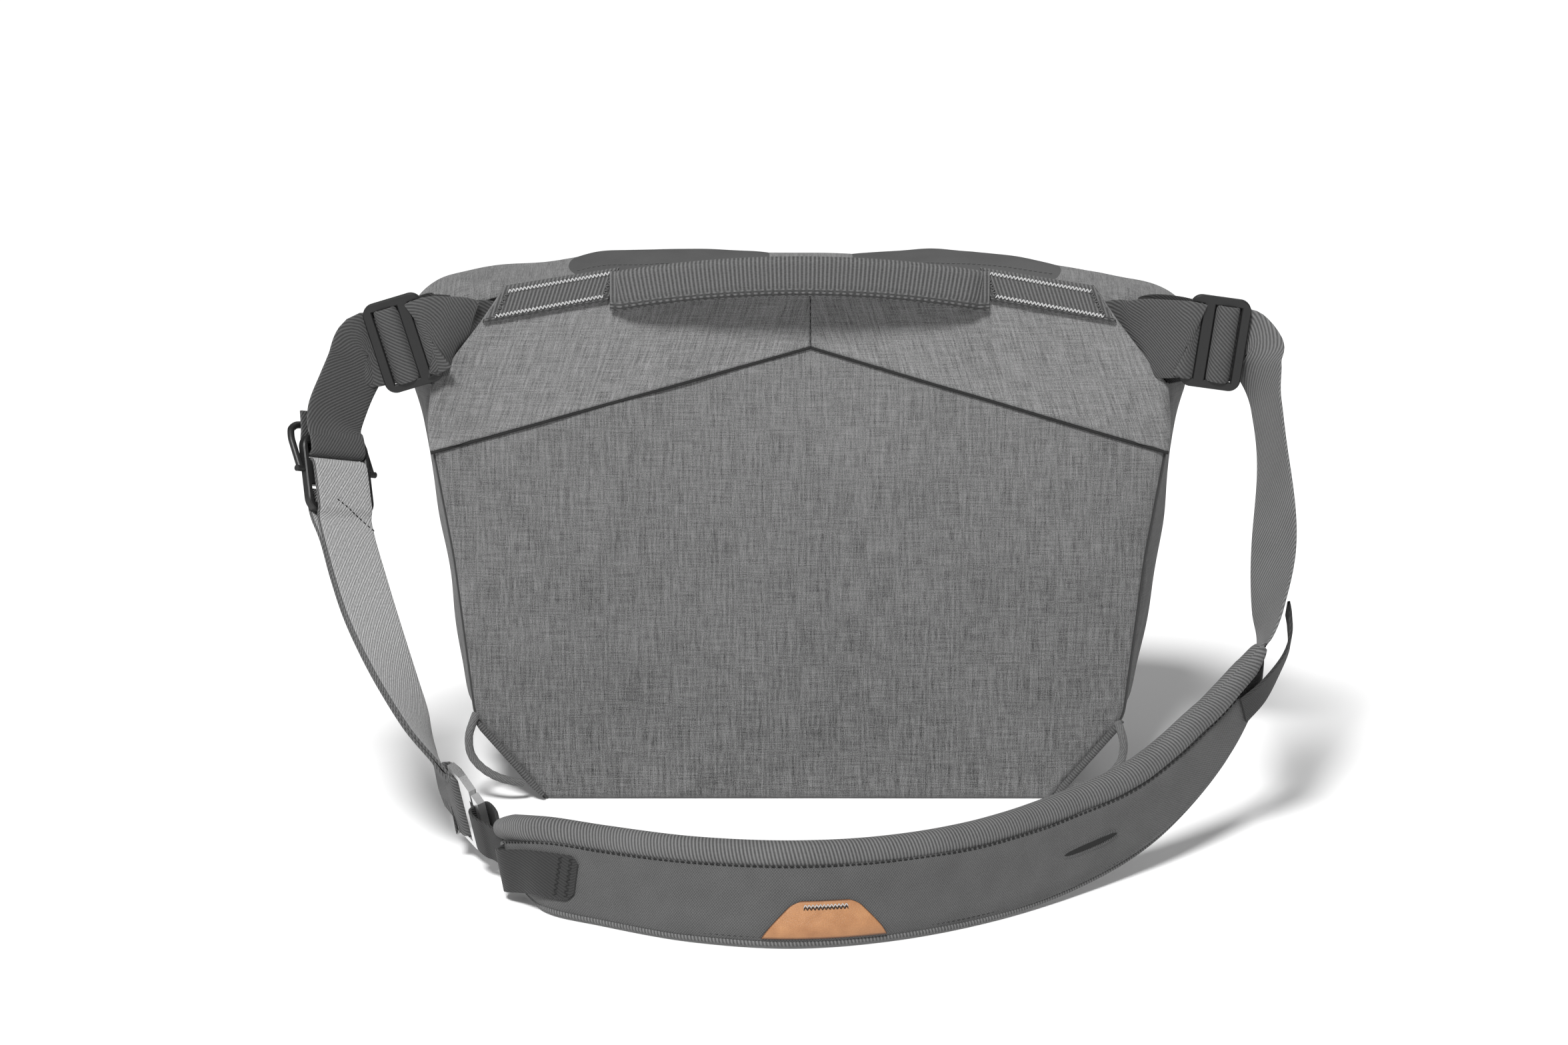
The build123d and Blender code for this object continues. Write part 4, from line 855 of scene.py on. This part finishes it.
# ---------------------------------------------------------------- handle
def handle():
    """The padded grab handle in two halves, each bending from the bag to the handle at its own end, and its patches."""
    count = 121
    share = np.linspace(0, 1, count)
    x = -97.0 + 194.0 * share
    arch = np.sin(np.pi * np.clip((x + 92) / 184, 0, 1)) ** 0.8
    start = np.clip((np.abs(x) - 86) / 11, 0, 1)
    y = -70.7 - 15.0 * arch + 1.6 * start
    z = 273.0 + 11.0 * arch
    curve = stations(np.column_stack([x, y, z]), (0.0, 0.0, 1.0), 20.6)
    k = np.linspace(-1, 1, 22)
    fold = np.r_[k, k[::-1]]
    thick = np.sqrt(np.clip(1 - np.abs(fold) ** 7, 0, 1)) * np.r_[np.full(22, 1.0), np.full(22, -1.0)]
    pad = 3.1 - 2.2 * start[:, None]
    groove = 0.55 * np.r_[np.exp(-(((k + 0.56) / 0.1) ** 2)), np.zeros(22)]
    P = sweep(curve, 10.3 * fold, thick[None, :] * pad - groove[None, :])
    uv = np.stack(np.meshgrid(x + 97, np.r_[fold, fold[0]] * 10.3 + 10.3, indexing="ij"), -1) * MM
    mid = count // 2
    halves = (("left", slice(0, mid + 1), -96.0, -80.0, ("handle_grip",)), ("right", slice(mid, count), 96.0, 80.0, ()))
    for name, part, a0, a1, nodes in halves:
        form = {"ring": True, "caps": True, "uv": uv[part], "crease": 70}
        piece = grid(f"handle_{name}", P[part], None, HANDLE, "webbing", nodes, **form)
        a0 * MM
        a1 * MM
        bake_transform(piece)
    for name, sign in (("left", -1), ("right", 1)):
        s, t = close_ends(60, 0.4), close_ends(24, 0.5)
        low = even([(98, 267), (162.5, 255.6)], s)
        top = even([(92, 285), (150.5, 275.4)], s)
        Q = span(low, top, even([low[0], top[0]], t), even([low[-1], top[-1]], t), s, t)
        y = -68.6 + tuck(Q, (1.2, 1.2, 1.6, 1.2)) - 0.5 * belly(Q[..., 0], Q[..., 1])
        sheet = np.stack([Q[..., 0] * sign, y, Q[..., 1]], -1)
        uv = np.stack([np.linalg.norm(Q - Q[:, :1], axis=-1), np.linalg.norm(Q - Q[:1], axis=-1) * 1.1], -1) * MM
        stands_for = (f"handle_patch_{name}",)
        grid(f"handle_patch_{name}_web", sheet, "bag", HANDLE, "webbing", stands_for, uv=uv, thick=2.0, flip=sign > 0)
        corners = np.array([Q[6, 5], Q[5, -7], Q[-6, -6], Q[-5, 4], Q[6, 5]]) * (sign, 1)
        for n, (p, q) in enumerate(zip(corners, corners[1:])):
            length = np.linalg.norm(q - p)
            m = int(length / (0.95 if n % 2 == 0 else 1.3))
            f = (np.arange(m) + 0.5) / m
            pts = p + (q - p) * f[:, None]
            head = unit(q - p)
            side = np.array([-head[1], head[0]])
            aim = side + head * 0.55 * zigzag(m)
            face = -69.1 - 0.5 * belly(np.abs(pts[:, 0]), pts[:, 1])
            P3 = np.column_stack([pts[:, 0], face, pts[:, 1]])
            A3 = np.column_stack([aim[:, 0], np.zeros(m), aim[:, 1]])
            tone = LIGHT_THREAD if n % 2 == 0 else GREY_THREAD
            thread(f"handle_patch_{name}_zigzag_{n}", P3, A3, (0, -1, 0), 2.4, 0.75, "bag", tone)


# ---------------------------------------------------------------- sliders and strap
WEB_T = 1.6
SLIDER = {"left": (-203.0, 17.0, -1), "right": (213.0, 8.0, 1)}


def slider_axes(side):
    """Origin, outward and upward directions of a slider, and its normal towards the wearer."""
    x, tilt, sign = SLIDER[side]
    tilt = np.radians(tilt)
    out = np.array([sign * np.cos(tilt), 0, -np.sin(tilt)])
    up = np.array([sign * np.sin(tilt), 0, np.cos(tilt)])
    return np.array([x, -70.0, 246.0]), out, up, np.array([0.0, -1.0, 0.0])


def anchors():
    """Webbing at each slider: a loop round the inner rail that fans out under the yoke, and the turn over the bar."""
    for side in ("left", "right"):
        O, out, up, near = slider_axes(side)
        sign = SLIDER[side][2]

        def at(u, w, lift=0.0):
            return tuple(O + out * u + near * lift + up * w)

        rail = np.array(at(-15.5, 0.6, 3.5))
        seam = np.array([sign * 170.0, -63.4, 247.3])

        def fan(f, lift, wide, past=0.0):
            """A station f of the way from the inner rail to the yoke's edge, past mm beyond it."""
            c = rail + (seam - rail) * f + (-sign * past, -lift, 0.0)
            return tuple(c), tuple(unit(up * (1 - f) + f * np.array([-sign * 0.62, 0.0, 0.785]))), wide

        front = [
            (at(-9.6, 0, -0.6), up, 40.2), (at(-10.0, 0, 1.6), up, 40.2), (at(-12.2, 0, 3.3), up, 40.2),
            (tuple(rail), up, 39.6), fan(0.35, 1.4, 41.5), fan(0.7, 0.8, 43.5), fan(1.0, -0.8, 43.0),
            fan(1.0, -3.0, 40.0, 7.0), fan(1.0, -4.0, 36.0, 15.0),
        ]
        fold = lambda a, s: 0.7 * np.sin(a * 5.5 + 1.0) * np.clip(s * 2.2 - 0.8, 0, 1) * np.clip(4.0 - s * 4.0, 0, 1)
        stands_for = (f"anchor_loop_{side}",)
        web(f"anchor_{side}_front", along(front, 0.8), WEB_T, "bag", STRAP_DARK, "webbing_dark", stands_for, swell=fold)
        rear = [
            (at(-9.6, 0, -0.6), up, 40.2), (at(-11.4, 0, -3.2), up, 40.0), (at(-15.0, -1.0, -5.6), up, 43.0),
            ((sign * 185.0, -57.5, 245.0), (-sign * 0.15, 0.0, 0.98), 48.0),
            ((sign * 180.0, -52.5, 242.0), (-sign * 0.05, 0.0, 0.99), 44.0),
        ]
        web(f"anchor_{side}_rear", along(rear, 1.0), WEB_T, "bag", BLACK_WEB, "webbing_dark")
        turn = [
            (at(-6.6, 0, -3.3), up, 40.2), (at(-3.2, 0, -3.2), up, 40.2), (at(-1.6, 0, -1.8), up, 40.2),
            (at(-1.0, 0, 0.8), up, 40.2), (at(0.8, 0, 2.9), up, 40.2), (at(4.0, 0, 3.5), up, 40.2),
            (at(7.2, 0, 2.9), up, 40.2), (at(9.0, 0, 0.8), up, 40.2), (at(9.4, 0, -1.6), up, 40.2),
        ]
        web(f"anchor_{side}_turn", along(turn, 0.6), WEB_T, "bag", STRAP_DARK, "webbing_dark", (f"anchor_turn_{side}",))


ADJ_C = np.array([-236.0, -103.0, 184.0])
ADJ_D = unit(np.array([0.125, -0.42, -0.90]))
_w = np.array([-23.0, -20.0, 16.0])
ADJ_A = unit(_w - ADJ_D * (_w @ ADJ_D))
ADJ_N = np.cross(ADJ_D, ADJ_A)
HOOK_C = np.array([-170.5, -177.0, 33.0])
HOOK_X = unit(np.array([-146.0, -219.0, 20.5]) - HOOK_C)
_w = np.array([-6.5, -18.4, 41.7])
HOOK_A = unit(_w - HOOK_X * (_w @ HOOK_X))
HOOK_N = np.cross(HOOK_X, HOOK_A)


def on_frame(C, X, N, A, points, width):
    """Stations at (x, lift) points of a metal frame's own plane, the webbing as wide as it is there."""
    return [(tuple(C + X * x + N * lift), tuple(A), width) for x, lift in points]


LOWER = [
    ((-229.5, -120, 154), (-0.66, -0.70, 0.26), 38), ((-219, -137, 124), (-0.65, -0.72, 0.22), 38),
    ((-206.5, -152, 96), (-0.58, -0.72, 0.38), 38), ((-193.5, -163, 70.5), (-0.44, -0.66, 0.60), 38),
    ((-184.5, -166, 53), (-0.30, -0.55, 0.78), 38),
]


def left_strap():
    """Slider to adjuster in one layer, adjuster to hook in two, with a row of stitches below the adjuster."""
    O, out, up, near = slider_axes("left")
    upper = [
        (tuple(O + out * 9.4 - near * 1.8), tuple(up), 40.2), (tuple(O + out * 12.0 - near * 3.3), tuple(up), 39.0),
        (tuple(O + out * 16.5 - near * 2.9), tuple(up), 38.0), ((-223.6, -69.6, 242.0), (-0.35, -0.12, 0.93), 38.0),
        ((-228.0, -74.8, 233.0), (-0.44, -0.30, 0.85), 38.0), ((-232.6, -82.0, 223.0), (-0.55, -0.46, 0.70), 38.0),
        ((-237, -90, 212), (-0.64, -0.56, 0.52), 38.0),
    ]
    turn = [
        (-23.2, -2.6), (-19.0, -3.5), (-13.5, -3.6), (-10.6, -2.9), (-9.4, -0.6), (-9.6, 1.6), (-12.0, 3.2),
        (-16.0, 3.5), (-19.0, 3.5), (-24.0, 2.4), (-33.0, 1.8),
    ]
    route = upper + on_frame(ADJ_C, ADJ_D, ADJ_N, ADJ_A, turn, 38.0)
    curl = lambda a, s: 0.8 * (a**2 - 0.4) * np.exp(-((s - 0.3) / 0.2) ** 2)
    stands_for = ("webbing_upper_left",)
    piece = web("strap_upper_left", along(route, 1.0), WEB_T, None, STRAP_DARK, "webbing", stands_for, swell=curl)
    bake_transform(piece)
    mid = along(LOWER, 4.0)
    C, _, A, N = axes(mid)
    over_bars = [(-7.4, 0.6), (-6.8, -1.9), (-4.8, -3.2), (0.0, -3.5), (13.0, -3.6), (18.5, -3.5), (23.5, -2.3)]
    under_bar = [(8.2, 0.9), (10.0, 2.4), (13.0, 3.4), (18.5, 3.4), (23.5, 2.3)]
    for name, side, first in (("inner", -1, over_bars), ("outer", 1, under_bar)):
        last = [(x, side * lift) for x, lift in ((-10, 1.6), (-5.0, 3.3), (1.0, 3.5), (3.6, 2.6), (4.4, 0.1))]
        part = C + N * side * 1.0
        middle = [(tuple(p), tuple(a), 38.0) for p, a in zip(part[::5], A[::5])]
        at_hook = on_frame(HOOK_C, HOOK_X, HOOK_N, HOOK_A, last, 38.0)
        route = on_frame(ADJ_C, ADJ_D, ADJ_N, ADJ_A, first, 38.0) + middle + at_hook
        curve = along(route, 1.2)
        web(f"strap_lower_{name}", curve, WEB_T, "strap", STRAP_TWO, "webbing", (f"webbing_lower_{name}",))
        if name == "inner":
            c, _, a, n = (v[:60] for v in axes(curve))
            down, over = np.linspace(14.0, 27.0, 12), np.linspace(5.0, -18.3, 12)
            at = np.abs(((c - ADJ_C) @ ADJ_D)[:, None] - down).argmin(0)
            line = c[at] + a[at] * over[:, None] - n[at] * (WEB_T / 2 + 0.1)
            P, aim = stitch_line(line, 2.6)
            thread("strap_lower_stitches", P, aim, -n[at[6]], 2.1, 0.7, "strap", DARK_THREAD_AND_PAINTED_SHADE)


PAD = [
    ((-146, -219, 20.5), (-5.6, -10, 36), 38), ((-125.5, -252, 24), (-6, 15, 42), 46),
    ((-96.5, -272.5, 24.5), (-1, 15, 44), 48), ((-52.5, -297.5, 25.5), (0, 15, 48), 50),
    ((-4, -307.5, 26), (0, 15, 49), 51), ((43.5, -295.5, 25.5), (-3, 14, 47), 50),
    ((89.5, -268.5, 25.5), (-9, 6, 46), 50), ((133.5, -230.5, 29), (-17, -6, 46), 50),
    ((172, -197.5, 39.5), (-18, -19, 42.5), 50), ((206, -166, 62.5), (-16, -28, 36.7), 49),
    ((224, -149, 83), (-9, -35, 31), 46), ((233, -139, 98), (-2, -36, 22), 42),
]
FOOT_SEAM, ROLL_SEAM = 2.2, 11.6  # how far the pad's face stops short of its foot and its top


def pad_crown(k):
    """How far the pad's face stands from its mid plane, k running from -1 at the foot seam to 1 at the roll's seam."""
    return 4.6 * (1 - np.clip((-k - 0.55) / 0.45, 0, 1) ** 2.2 * 0.72) + 0.8 * (1 - k**2)


def pad():
    """The shoulder pad: a crowned body, a fat roll along its top, a welt along its foot, seams, tabs and tag."""
    curve = along(PAD, 2.0)
    m = len(curve)
    s = np.linspace(0, 1, m)[:, None]
    run = s * np.linalg.norm(np.diff(curve[:, :3], axis=0), axis=1).sum()
    ends = np.sqrt(np.clip(np.minimum(run, run[-1] - run) / 14.0, 0, 1) + 0.02)
    W = curve[:, 6:7]
    k = np.linspace(-1, 1, 40)
    low, high = FOOT_SEAM - W / 2, W / 2 - ROLL_SEAM
    a = (low + high) / 2 + (high - low) / 2 * np.r_[k, k[::-1]][None, :]
    crown = pad_crown(k) - 0.9 * np.exp(-(((k - 1) / 0.12) ** 2))
    side = np.r_[np.ones(40), -np.ones(40)]
    ride_face = 0.28 * ripple(run + 0 * a, a, 55, 41)
    b = (np.r_[crown, crown[::-1]][None, :] * (0.35 + 0.65 * ends) + ride_face) * side
    P = sweep(curve, a, b)
    stands_for = ("pad_core", "pad_face", "pad_back")
    grid("pad_body", P, "strap", PAD_FACE, "pad_mesh", stands_for, ring=True, caps=True, crease=70)
    turn = np.linspace(0, 2 * np.pi, 41)[:-1]
    c, d = np.cos(turn), np.sin(turn)
    rc, rd = np.sign(c) * np.abs(c) ** 0.86, np.sign(d) * np.abs(d) ** 0.86
    tight = 0.5 + 0.5 * ends
    a = W / 2 - 6.7 + 6.7 * rc[None, :] * tight
    b = -6.1 * rd[None, :] * tight + 0.12 * ripple(run + 0 * a, a, 30, 43)
    P = sweep(curve[1:], a[1:], b[1:])
    grid("pad_roll", P, "strap", ROLL, "webbing", ("pad_top_roll",), ring=True, caps=True, crease=80)
    pipe("pad_welt", curve, 1.6, 1.35, "strap", ROLL, "webbing", ("pad_bottom_piping",), shift=1.5 - W / 2, crease=80)
    C, T, A, N = axes(curve)
    seam = (C + A * (W / 2 - 12.6) + N * 4.9)[5:-4]
    along_seam("pad_roll_seam_stitches", seam, N, 3.0, 2.3, 0.8, "strap", DARK_THREAD_AND_PAINTED_SHADE)
    foot = (C + A * (4.2 - W / 2) + N * 2.6)[4:-4]
    along_seam("pad_foot_stitches", foot, N, 3.0, 2.2, 0.6, "strap", DARK_THREAD_AND_PAINTED_SHADE)
    tabs(curve, C, T, A, N)
    slot(curve)
    tag(curve, W)


def tabs(curve, C, T, A, N):
    """Black webbing tabs near both ends of the pad: the left one springs from the end loop and is bar-tacked down."""
    part = curve[4:33].copy()
    s = np.linspace(0, 1, len(part))
    lift = 6.4 + 5.0 * np.exp(-(((s - 0.15) / 0.2) ** 2)) - 5.0 * np.clip((0.08 - s) / 0.08, 0, 1)
    shift = -5.0 + 1.0 * s
    c, t, a, nn = axes(part)
    wide = 22.0 * np.sqrt(1 - 0.55 * np.clip((s - 0.9) / 0.1, 0, 1) ** 2)
    line = np.column_stack([c + a * shift[:, None] + nn * lift[:, None], a, wide])
    web("pad_tab_left_web", line, 1.5, "strap", BLACK_WEB, "webbing_dark", ("pad_tab_left",))
    for j, at in enumerate((-6, -3)):
        centre, across = line[at, :3], a[at]
        f = np.linspace(-9.0, 9.0, 15)
        P, aim = centre + across * f[:, None] + nn[at] * 0.85, t[at] + across * 0.5 * zigzag(15)
        thread(f"pad_tab_left_tack_{j}", P, aim, nn[at], 2.6, 0.6, "strap", DARK_THREAD_AND_PAINTED_SHADE)
    on_pad = [(C[i] + N[i] * lift, A[i]) for i, lift in ((-16, 6.2), (-9, 9.6))]
    past = [(C[-1] + T[-1] * run + N[-1] * lift, A[-1]) for run, lift in ((1, 11.5), (14, 10.5), (24, 6.0), (30, 2.2))]
    route = [(tuple(c), tuple(a), 22.0) for c, a in on_pad + past]
    web("pad_tab_right_web", along(route, 1.0), 1.5, "strap", BLACK_WEB, "webbing_dark", ("pad_tab_right",))


def slot(curve):
    """A stitched slit in the pad's face: a dark leaf-shaped sheet, painted as the shade inside the opening, between two
    rows of close stitches.
    """
    i = int(len(curve) * 0.700)
    half = 9
    c, _, a, nn = axes(curve[i - half:i + half + 1])
    s = np.linspace(-1, 1, len(c))
    lens = 1.2 * np.sqrt(np.clip(1 - s**2, 0, 1))
    mid = c - a * 4.5 + nn * 5.4
    # painted shade: a thin dark sheet on the face stands in for the shadowed inside of the slit
    web("pad_slot_painted_shade", stations(mid, a, 2 * lens + 0.3), 0.5, "strap", DARK_THREAD_AND_PAINTED_SHADE, "pad_mesh")
    for j, sign in enumerate((-1, 1)):
        painted_shadow_line = mid + a * (lens * sign + 1.0 * sign)[:, None] + nn * 0.15
        P, aim = stitch_line(painted_shadow_line, 1.1)
        normal = nn[len(nn) // 2]
        thread(f"pad_slot_stitches_{j}", P, np.cross(aim, normal), normal, 1.9, 0.5, "strap", GREY_THREAD)


def tag(curve, W):
    """The leather tag: a trapezoid with rounded upper corners laid on the pad above its welt, and a zigzag bar."""
    i = int(len(curve) * 0.385)
    half = 34
    c, _, a, nn = axes(curve[i - half:i + half + 1])
    run = np.r_[0, np.cumsum(np.linalg.norm(np.diff(c, axis=0), axis=1))]
    run -= run[half]
    s, v = close_ends(56, 0.5), close_ends(30, 0.6)
    low, height = -W[i, 0] / 2 + 3.2, 18.5
    rise = v[:, None] * height
    wide = 29.0 + (14.0 - 29.0) * (v[:, None] ** 1.15) - 3.2 * np.clip((v[:, None] - 0.8) / 0.2, 0, 1) ** 2.5
    x = (2 * s[None, :] - 1) * wide
    frame_at = lambda arr: np.stack([np.interp(x, run, arr[:, j]) for j in range(3)], -1)
    base, across, normal = frame_at(c), frame_at(a), frame_at(nn)
    rim = np.minimum(np.minimum(s, 1 - s)[None, :] * 2 * wide, np.minimum(v, 1 - v)[:, None] * height + 0 * x)
    foot, head = FOOT_SEAM - W[i, 0] / 2, W[i, 0] / 2 - ROLL_SEAM
    k = np.clip((low + rise - foot) / (head - foot) * 2 - 1, -1, 1)
    lift = pad_crown(k) + 1.5 - 0.9 * np.clip(1 - rim / 0.9, 0, 1) ** 2
    P = base + across * (low + rise)[..., None] + normal * lift[..., None]
    uv = np.stack([x, np.clip(rim, 0, 20)], -1) * MM
    grid("leather_tag_hide", P, "strap", LEATHER, "tan", ("leather_tag",), uv=uv, thick=1.5, flip=True)
    row = int(30 * 0.78)
    bar = P[row, 14:-14]
    for j, (tone, shift) in enumerate(((LIGHT_THREAD, 0.0), (DARK_THREAD_AND_PAINTED_SHADE, -1.1))):
        pts, aim = stitch_line(bar + across[row, 14:-14] * shift + normal[row, 14:-14] * 0.25, 0.85)
        face = normal[row, 28]
        aim = np.cross(face, aim) + aim * 0.6 * zigzag(len(pts))
        thread(f"leather_tag_zigzag_{j}", pts, aim, face, 1.9, 0.5, "strap", tone)


def end_loop():
    """The narrow black loop that joins the pad's left end to the hook's outer bar."""
    far = np.linalg.norm(np.array([-146.0, -219.0, 20.5]) - HOOK_C) + 4.0
    half = [(far, 1.2), (40.0, 3.0), (34.5, 5.0), (29.0, 5.7), (24.6, 5.2), (23.0, 3.4)]
    line = half + [(22.6, 0.0)] + [(x, -lift) for x, lift in half[::-1]]
    route = on_frame(HOOK_C, HOOK_X, HOOK_N, HOOK_A, line, 24.0)
    web("pad_end_loop_web", along(route, 0.8), 1.5, "strap", BLACK_WEB, "webbing_dark", ("pad_end_loop",))


def right_strap():
    """From the pad's right end up to the right slider, one layer of webbing."""
    O, out, up, near = slider_axes("right")
    route = [
        ((229.5, -142.5, 91), (-2, -36, 22), 34), ((233.4, -138.2, 99), (0, -36, 21), 37),
        ((234.8, -136, 103.5), (3, -36, 19), 38), ((238, -130, 121), (12, -34, 9), 38),
        ((241.5, -112, 150.5), (17, -31, 4), 38), ((242, -88, 188), (12, -33, 12), 38),
        ((239.0, -76.5, 216), (9, -26, 24), 38), ((235.4, -71.4, 233), (6.5, -12, 35), 38),
        ((232.6, -69.3, 241.0), (5.6, -3, 37.3), 38), (tuple(O + out * 16.5 - near * 2.9), tuple(up), 38),
        (tuple(O + out * 12.0 - near * 3.3), tuple(up), 39), (tuple(O + out * 9.4 - near * 1.8), tuple(up), 40.2),
    ]
    piece = web("strap_right", along(route, 1.2), WEB_T, None, STRAP_RIGHT, "webbing", ("webbing_right",))
    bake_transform(piece)
    c, _, a, nn = axes(along(route, 1.2))
    for p, q in (((4, -13), (13, 13)), ((13, -13), (4, 13))):
        f = np.linspace(0, 1, 14)[:, None]
        i = (p[0] + (q[0] - p[0]) * f[:, 0]).astype(int)
        w = p[1] + (q[1] - p[1]) * f
        P = c[i] + a[i] * w + nn[i] * 0.95
        thread(f"strap_right_cross_{p[0]}", P, np.gradient(P, axis=0), nn[i], 2.2, 0.7, "strap", DARK_THREAD_AND_PAINTED_SHADE)


# ---------------------------------------------------------------- lower corners
LOOPS = {
    "left": (
        (-168.5, -66.8, 47.5), (-170.8, -70.8, 42), (-172.5, -71.8, 36), (-171.5, -72.1, 26),
        (-163.5, -72.4, 17.5), (-152, -71.8, 12.2), (-144.5, -67.3, 10.2),
    ),
    "right": (
        (166.0, -66.8, 43), (168.3, -70.8, 37.5), (169.3, -71.8, 30), (167.5, -72.1, 21.5),
        (159.5, -72.4, 13.5), (150.5, -71.2, 9.8), (144.5, -67.3, 8.4),
    ),
}


def corners():
    """A rolled welt along each lower corner, and the small cord loop that hangs there."""
    for side, sign in (("left", -1), ("right", 1)):
        a, b = np.array([sign * 135.0, -67.2, 2.6]), np.array([sign * 169.5, -67.2, 43.0])
        line = even([a, b], 60)
        down = unit(np.array([sign * (b[2] - a[2]), 0.0, -abs(b[0] - a[0])]))
        curve = stations(line - down * 1.2, -down, 4.0)
        taper = 0.55 + 0.45 * np.clip(np.minimum(np.arange(60), 59 - np.arange(60)) / 6.0, 0, 1)[:, None]
        stands_for = (f"corner_piping_{side}",)
        pipe(f"corner_welt_{side}", curve, 1.9 * taper, 1.6 * taper, "bag", WELT, "webbing_dark", stands_for, crease=80)
        route = bpy.data.curves.new(f"loop_route_{side}", "CURVE")
        route.dimensions, route.resolution_u = "3D", 24
        points = np.array(LOOPS[side], float) * MM
        spline = route.splines.new("NURBS")
        spline.points.add(len(points) - 1)
        spline.points.foreach_set("co", np.column_stack([points, np.ones(len(points))]).ravel())
        spline.order_u, spline.use_endpoint_u = 3, True
        holder = bpy.data.objects.new(f"loop_route_{side}", route)
        scene.collection.objects.link(holder)
        flat = bpy.data.meshes.new_from_object(holder)
        path = np.empty(len(flat.vertices) * 3)
        flat.vertices.foreach_get("co", path)
        bpy.data.objects.remove(holder)
        path = even(path.reshape(-1, 3) / MM, 110)
        curve = stations(path, (0.0, 1.0, 0.0), 4.4)
        turn = -np.linspace(0, 2 * np.pi, 33)[:-1]
        run = np.linspace(0, 44.0, 110)[:, None]
        braid = np.maximum(np.sin(turn * 6 + run * 1.6), np.sin(turn * 6 - run * 1.6))
        radius = 2.08 + 0.12 * braid
        P = sweep(curve, radius * np.cos(turn), radius * np.sin(turn))
        stands_for = (f"cord_loop_{side}",)
        form = {"ring": True, "caps": True, "crease": 80}
        piece = grid(f"cord_loop_{side}_braid", P, "bag", CORD, "black_cord", stands_for, **form)


def hardware():
    """The sliders, adjuster, hook, zip sliders and pulls keep the model's shape under metal finishes; the adjuster's
    bail is remade as a round bar.
    """
    finishes = {
        "slider_left": BLACK, "slider_right": BLACK, "adjuster_frame": BLACK, "hook": SILVER,
        "main_zip_slider": ZIP_METAL, "pocket_zip_slider": ZIP_METAL, "main_zip_pull": BLACK, "pocket_zip_pull": BLACK,
    }
    for node, finish in finishes.items():
        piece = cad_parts[node]
        for holder in piece.material_slots:
            holder.material = finish
    lean = np.radians(14.0)
    along_leg, out_of = ADJ_N * np.sin(lean) - ADJ_D * np.cos(lean), ADJ_N * np.cos(lean) + ADJ_D * np.sin(lean)
    half = np.array([(0, 25.2), (17, 25.2), (22.5, 23.6), (25.2, 19), (26, 10)])
    plan = even(np.vstack([half, half[::-1] * (1, -1)]), 90, 3)
    path = ADJ_C - ADJ_D * 2.0 + plan[:, :1] * along_leg + plan[:, 1:] * ADJ_A
    bar = stations(path, out_of, 3.4)
    pipe("adjuster_bail_bar", bar, 1.7, 1.9, "bail", BLACK, "black_metal", ("adjuster_bail",), crease=70)


corners()
back()
gussets()
front_wall()
inside()
dividers()
lid()
handle()
anchors()
left_strap()
end_loop()
pad()
right_strap()
hardware()

# ---------------------------------------------------------------- floor
ground = Finish("floor_white")
cloud = ground.noise(ground.place(), 1.2, 2.0)
white = ground.tones(cloud, (0.91, 0.91, 0.91, 1), (0.93, 0.93, 0.93, 1))
ground.done(Base_Color=white, Roughness=0.8, Emission_Color=(1.0, 1.0, 1.0, 1.0), Emission_Strength=0.06)
painted_shadow_line = np.linspace(-14000.0, 14000.0, 9)
X, Y = np.meshgrid(painted_shadow_line, painted_shadow_line, indexing="ij")
floor = grid("floor", np.stack([X, Y, 0 * X], -1), None, ground.material, "shell")
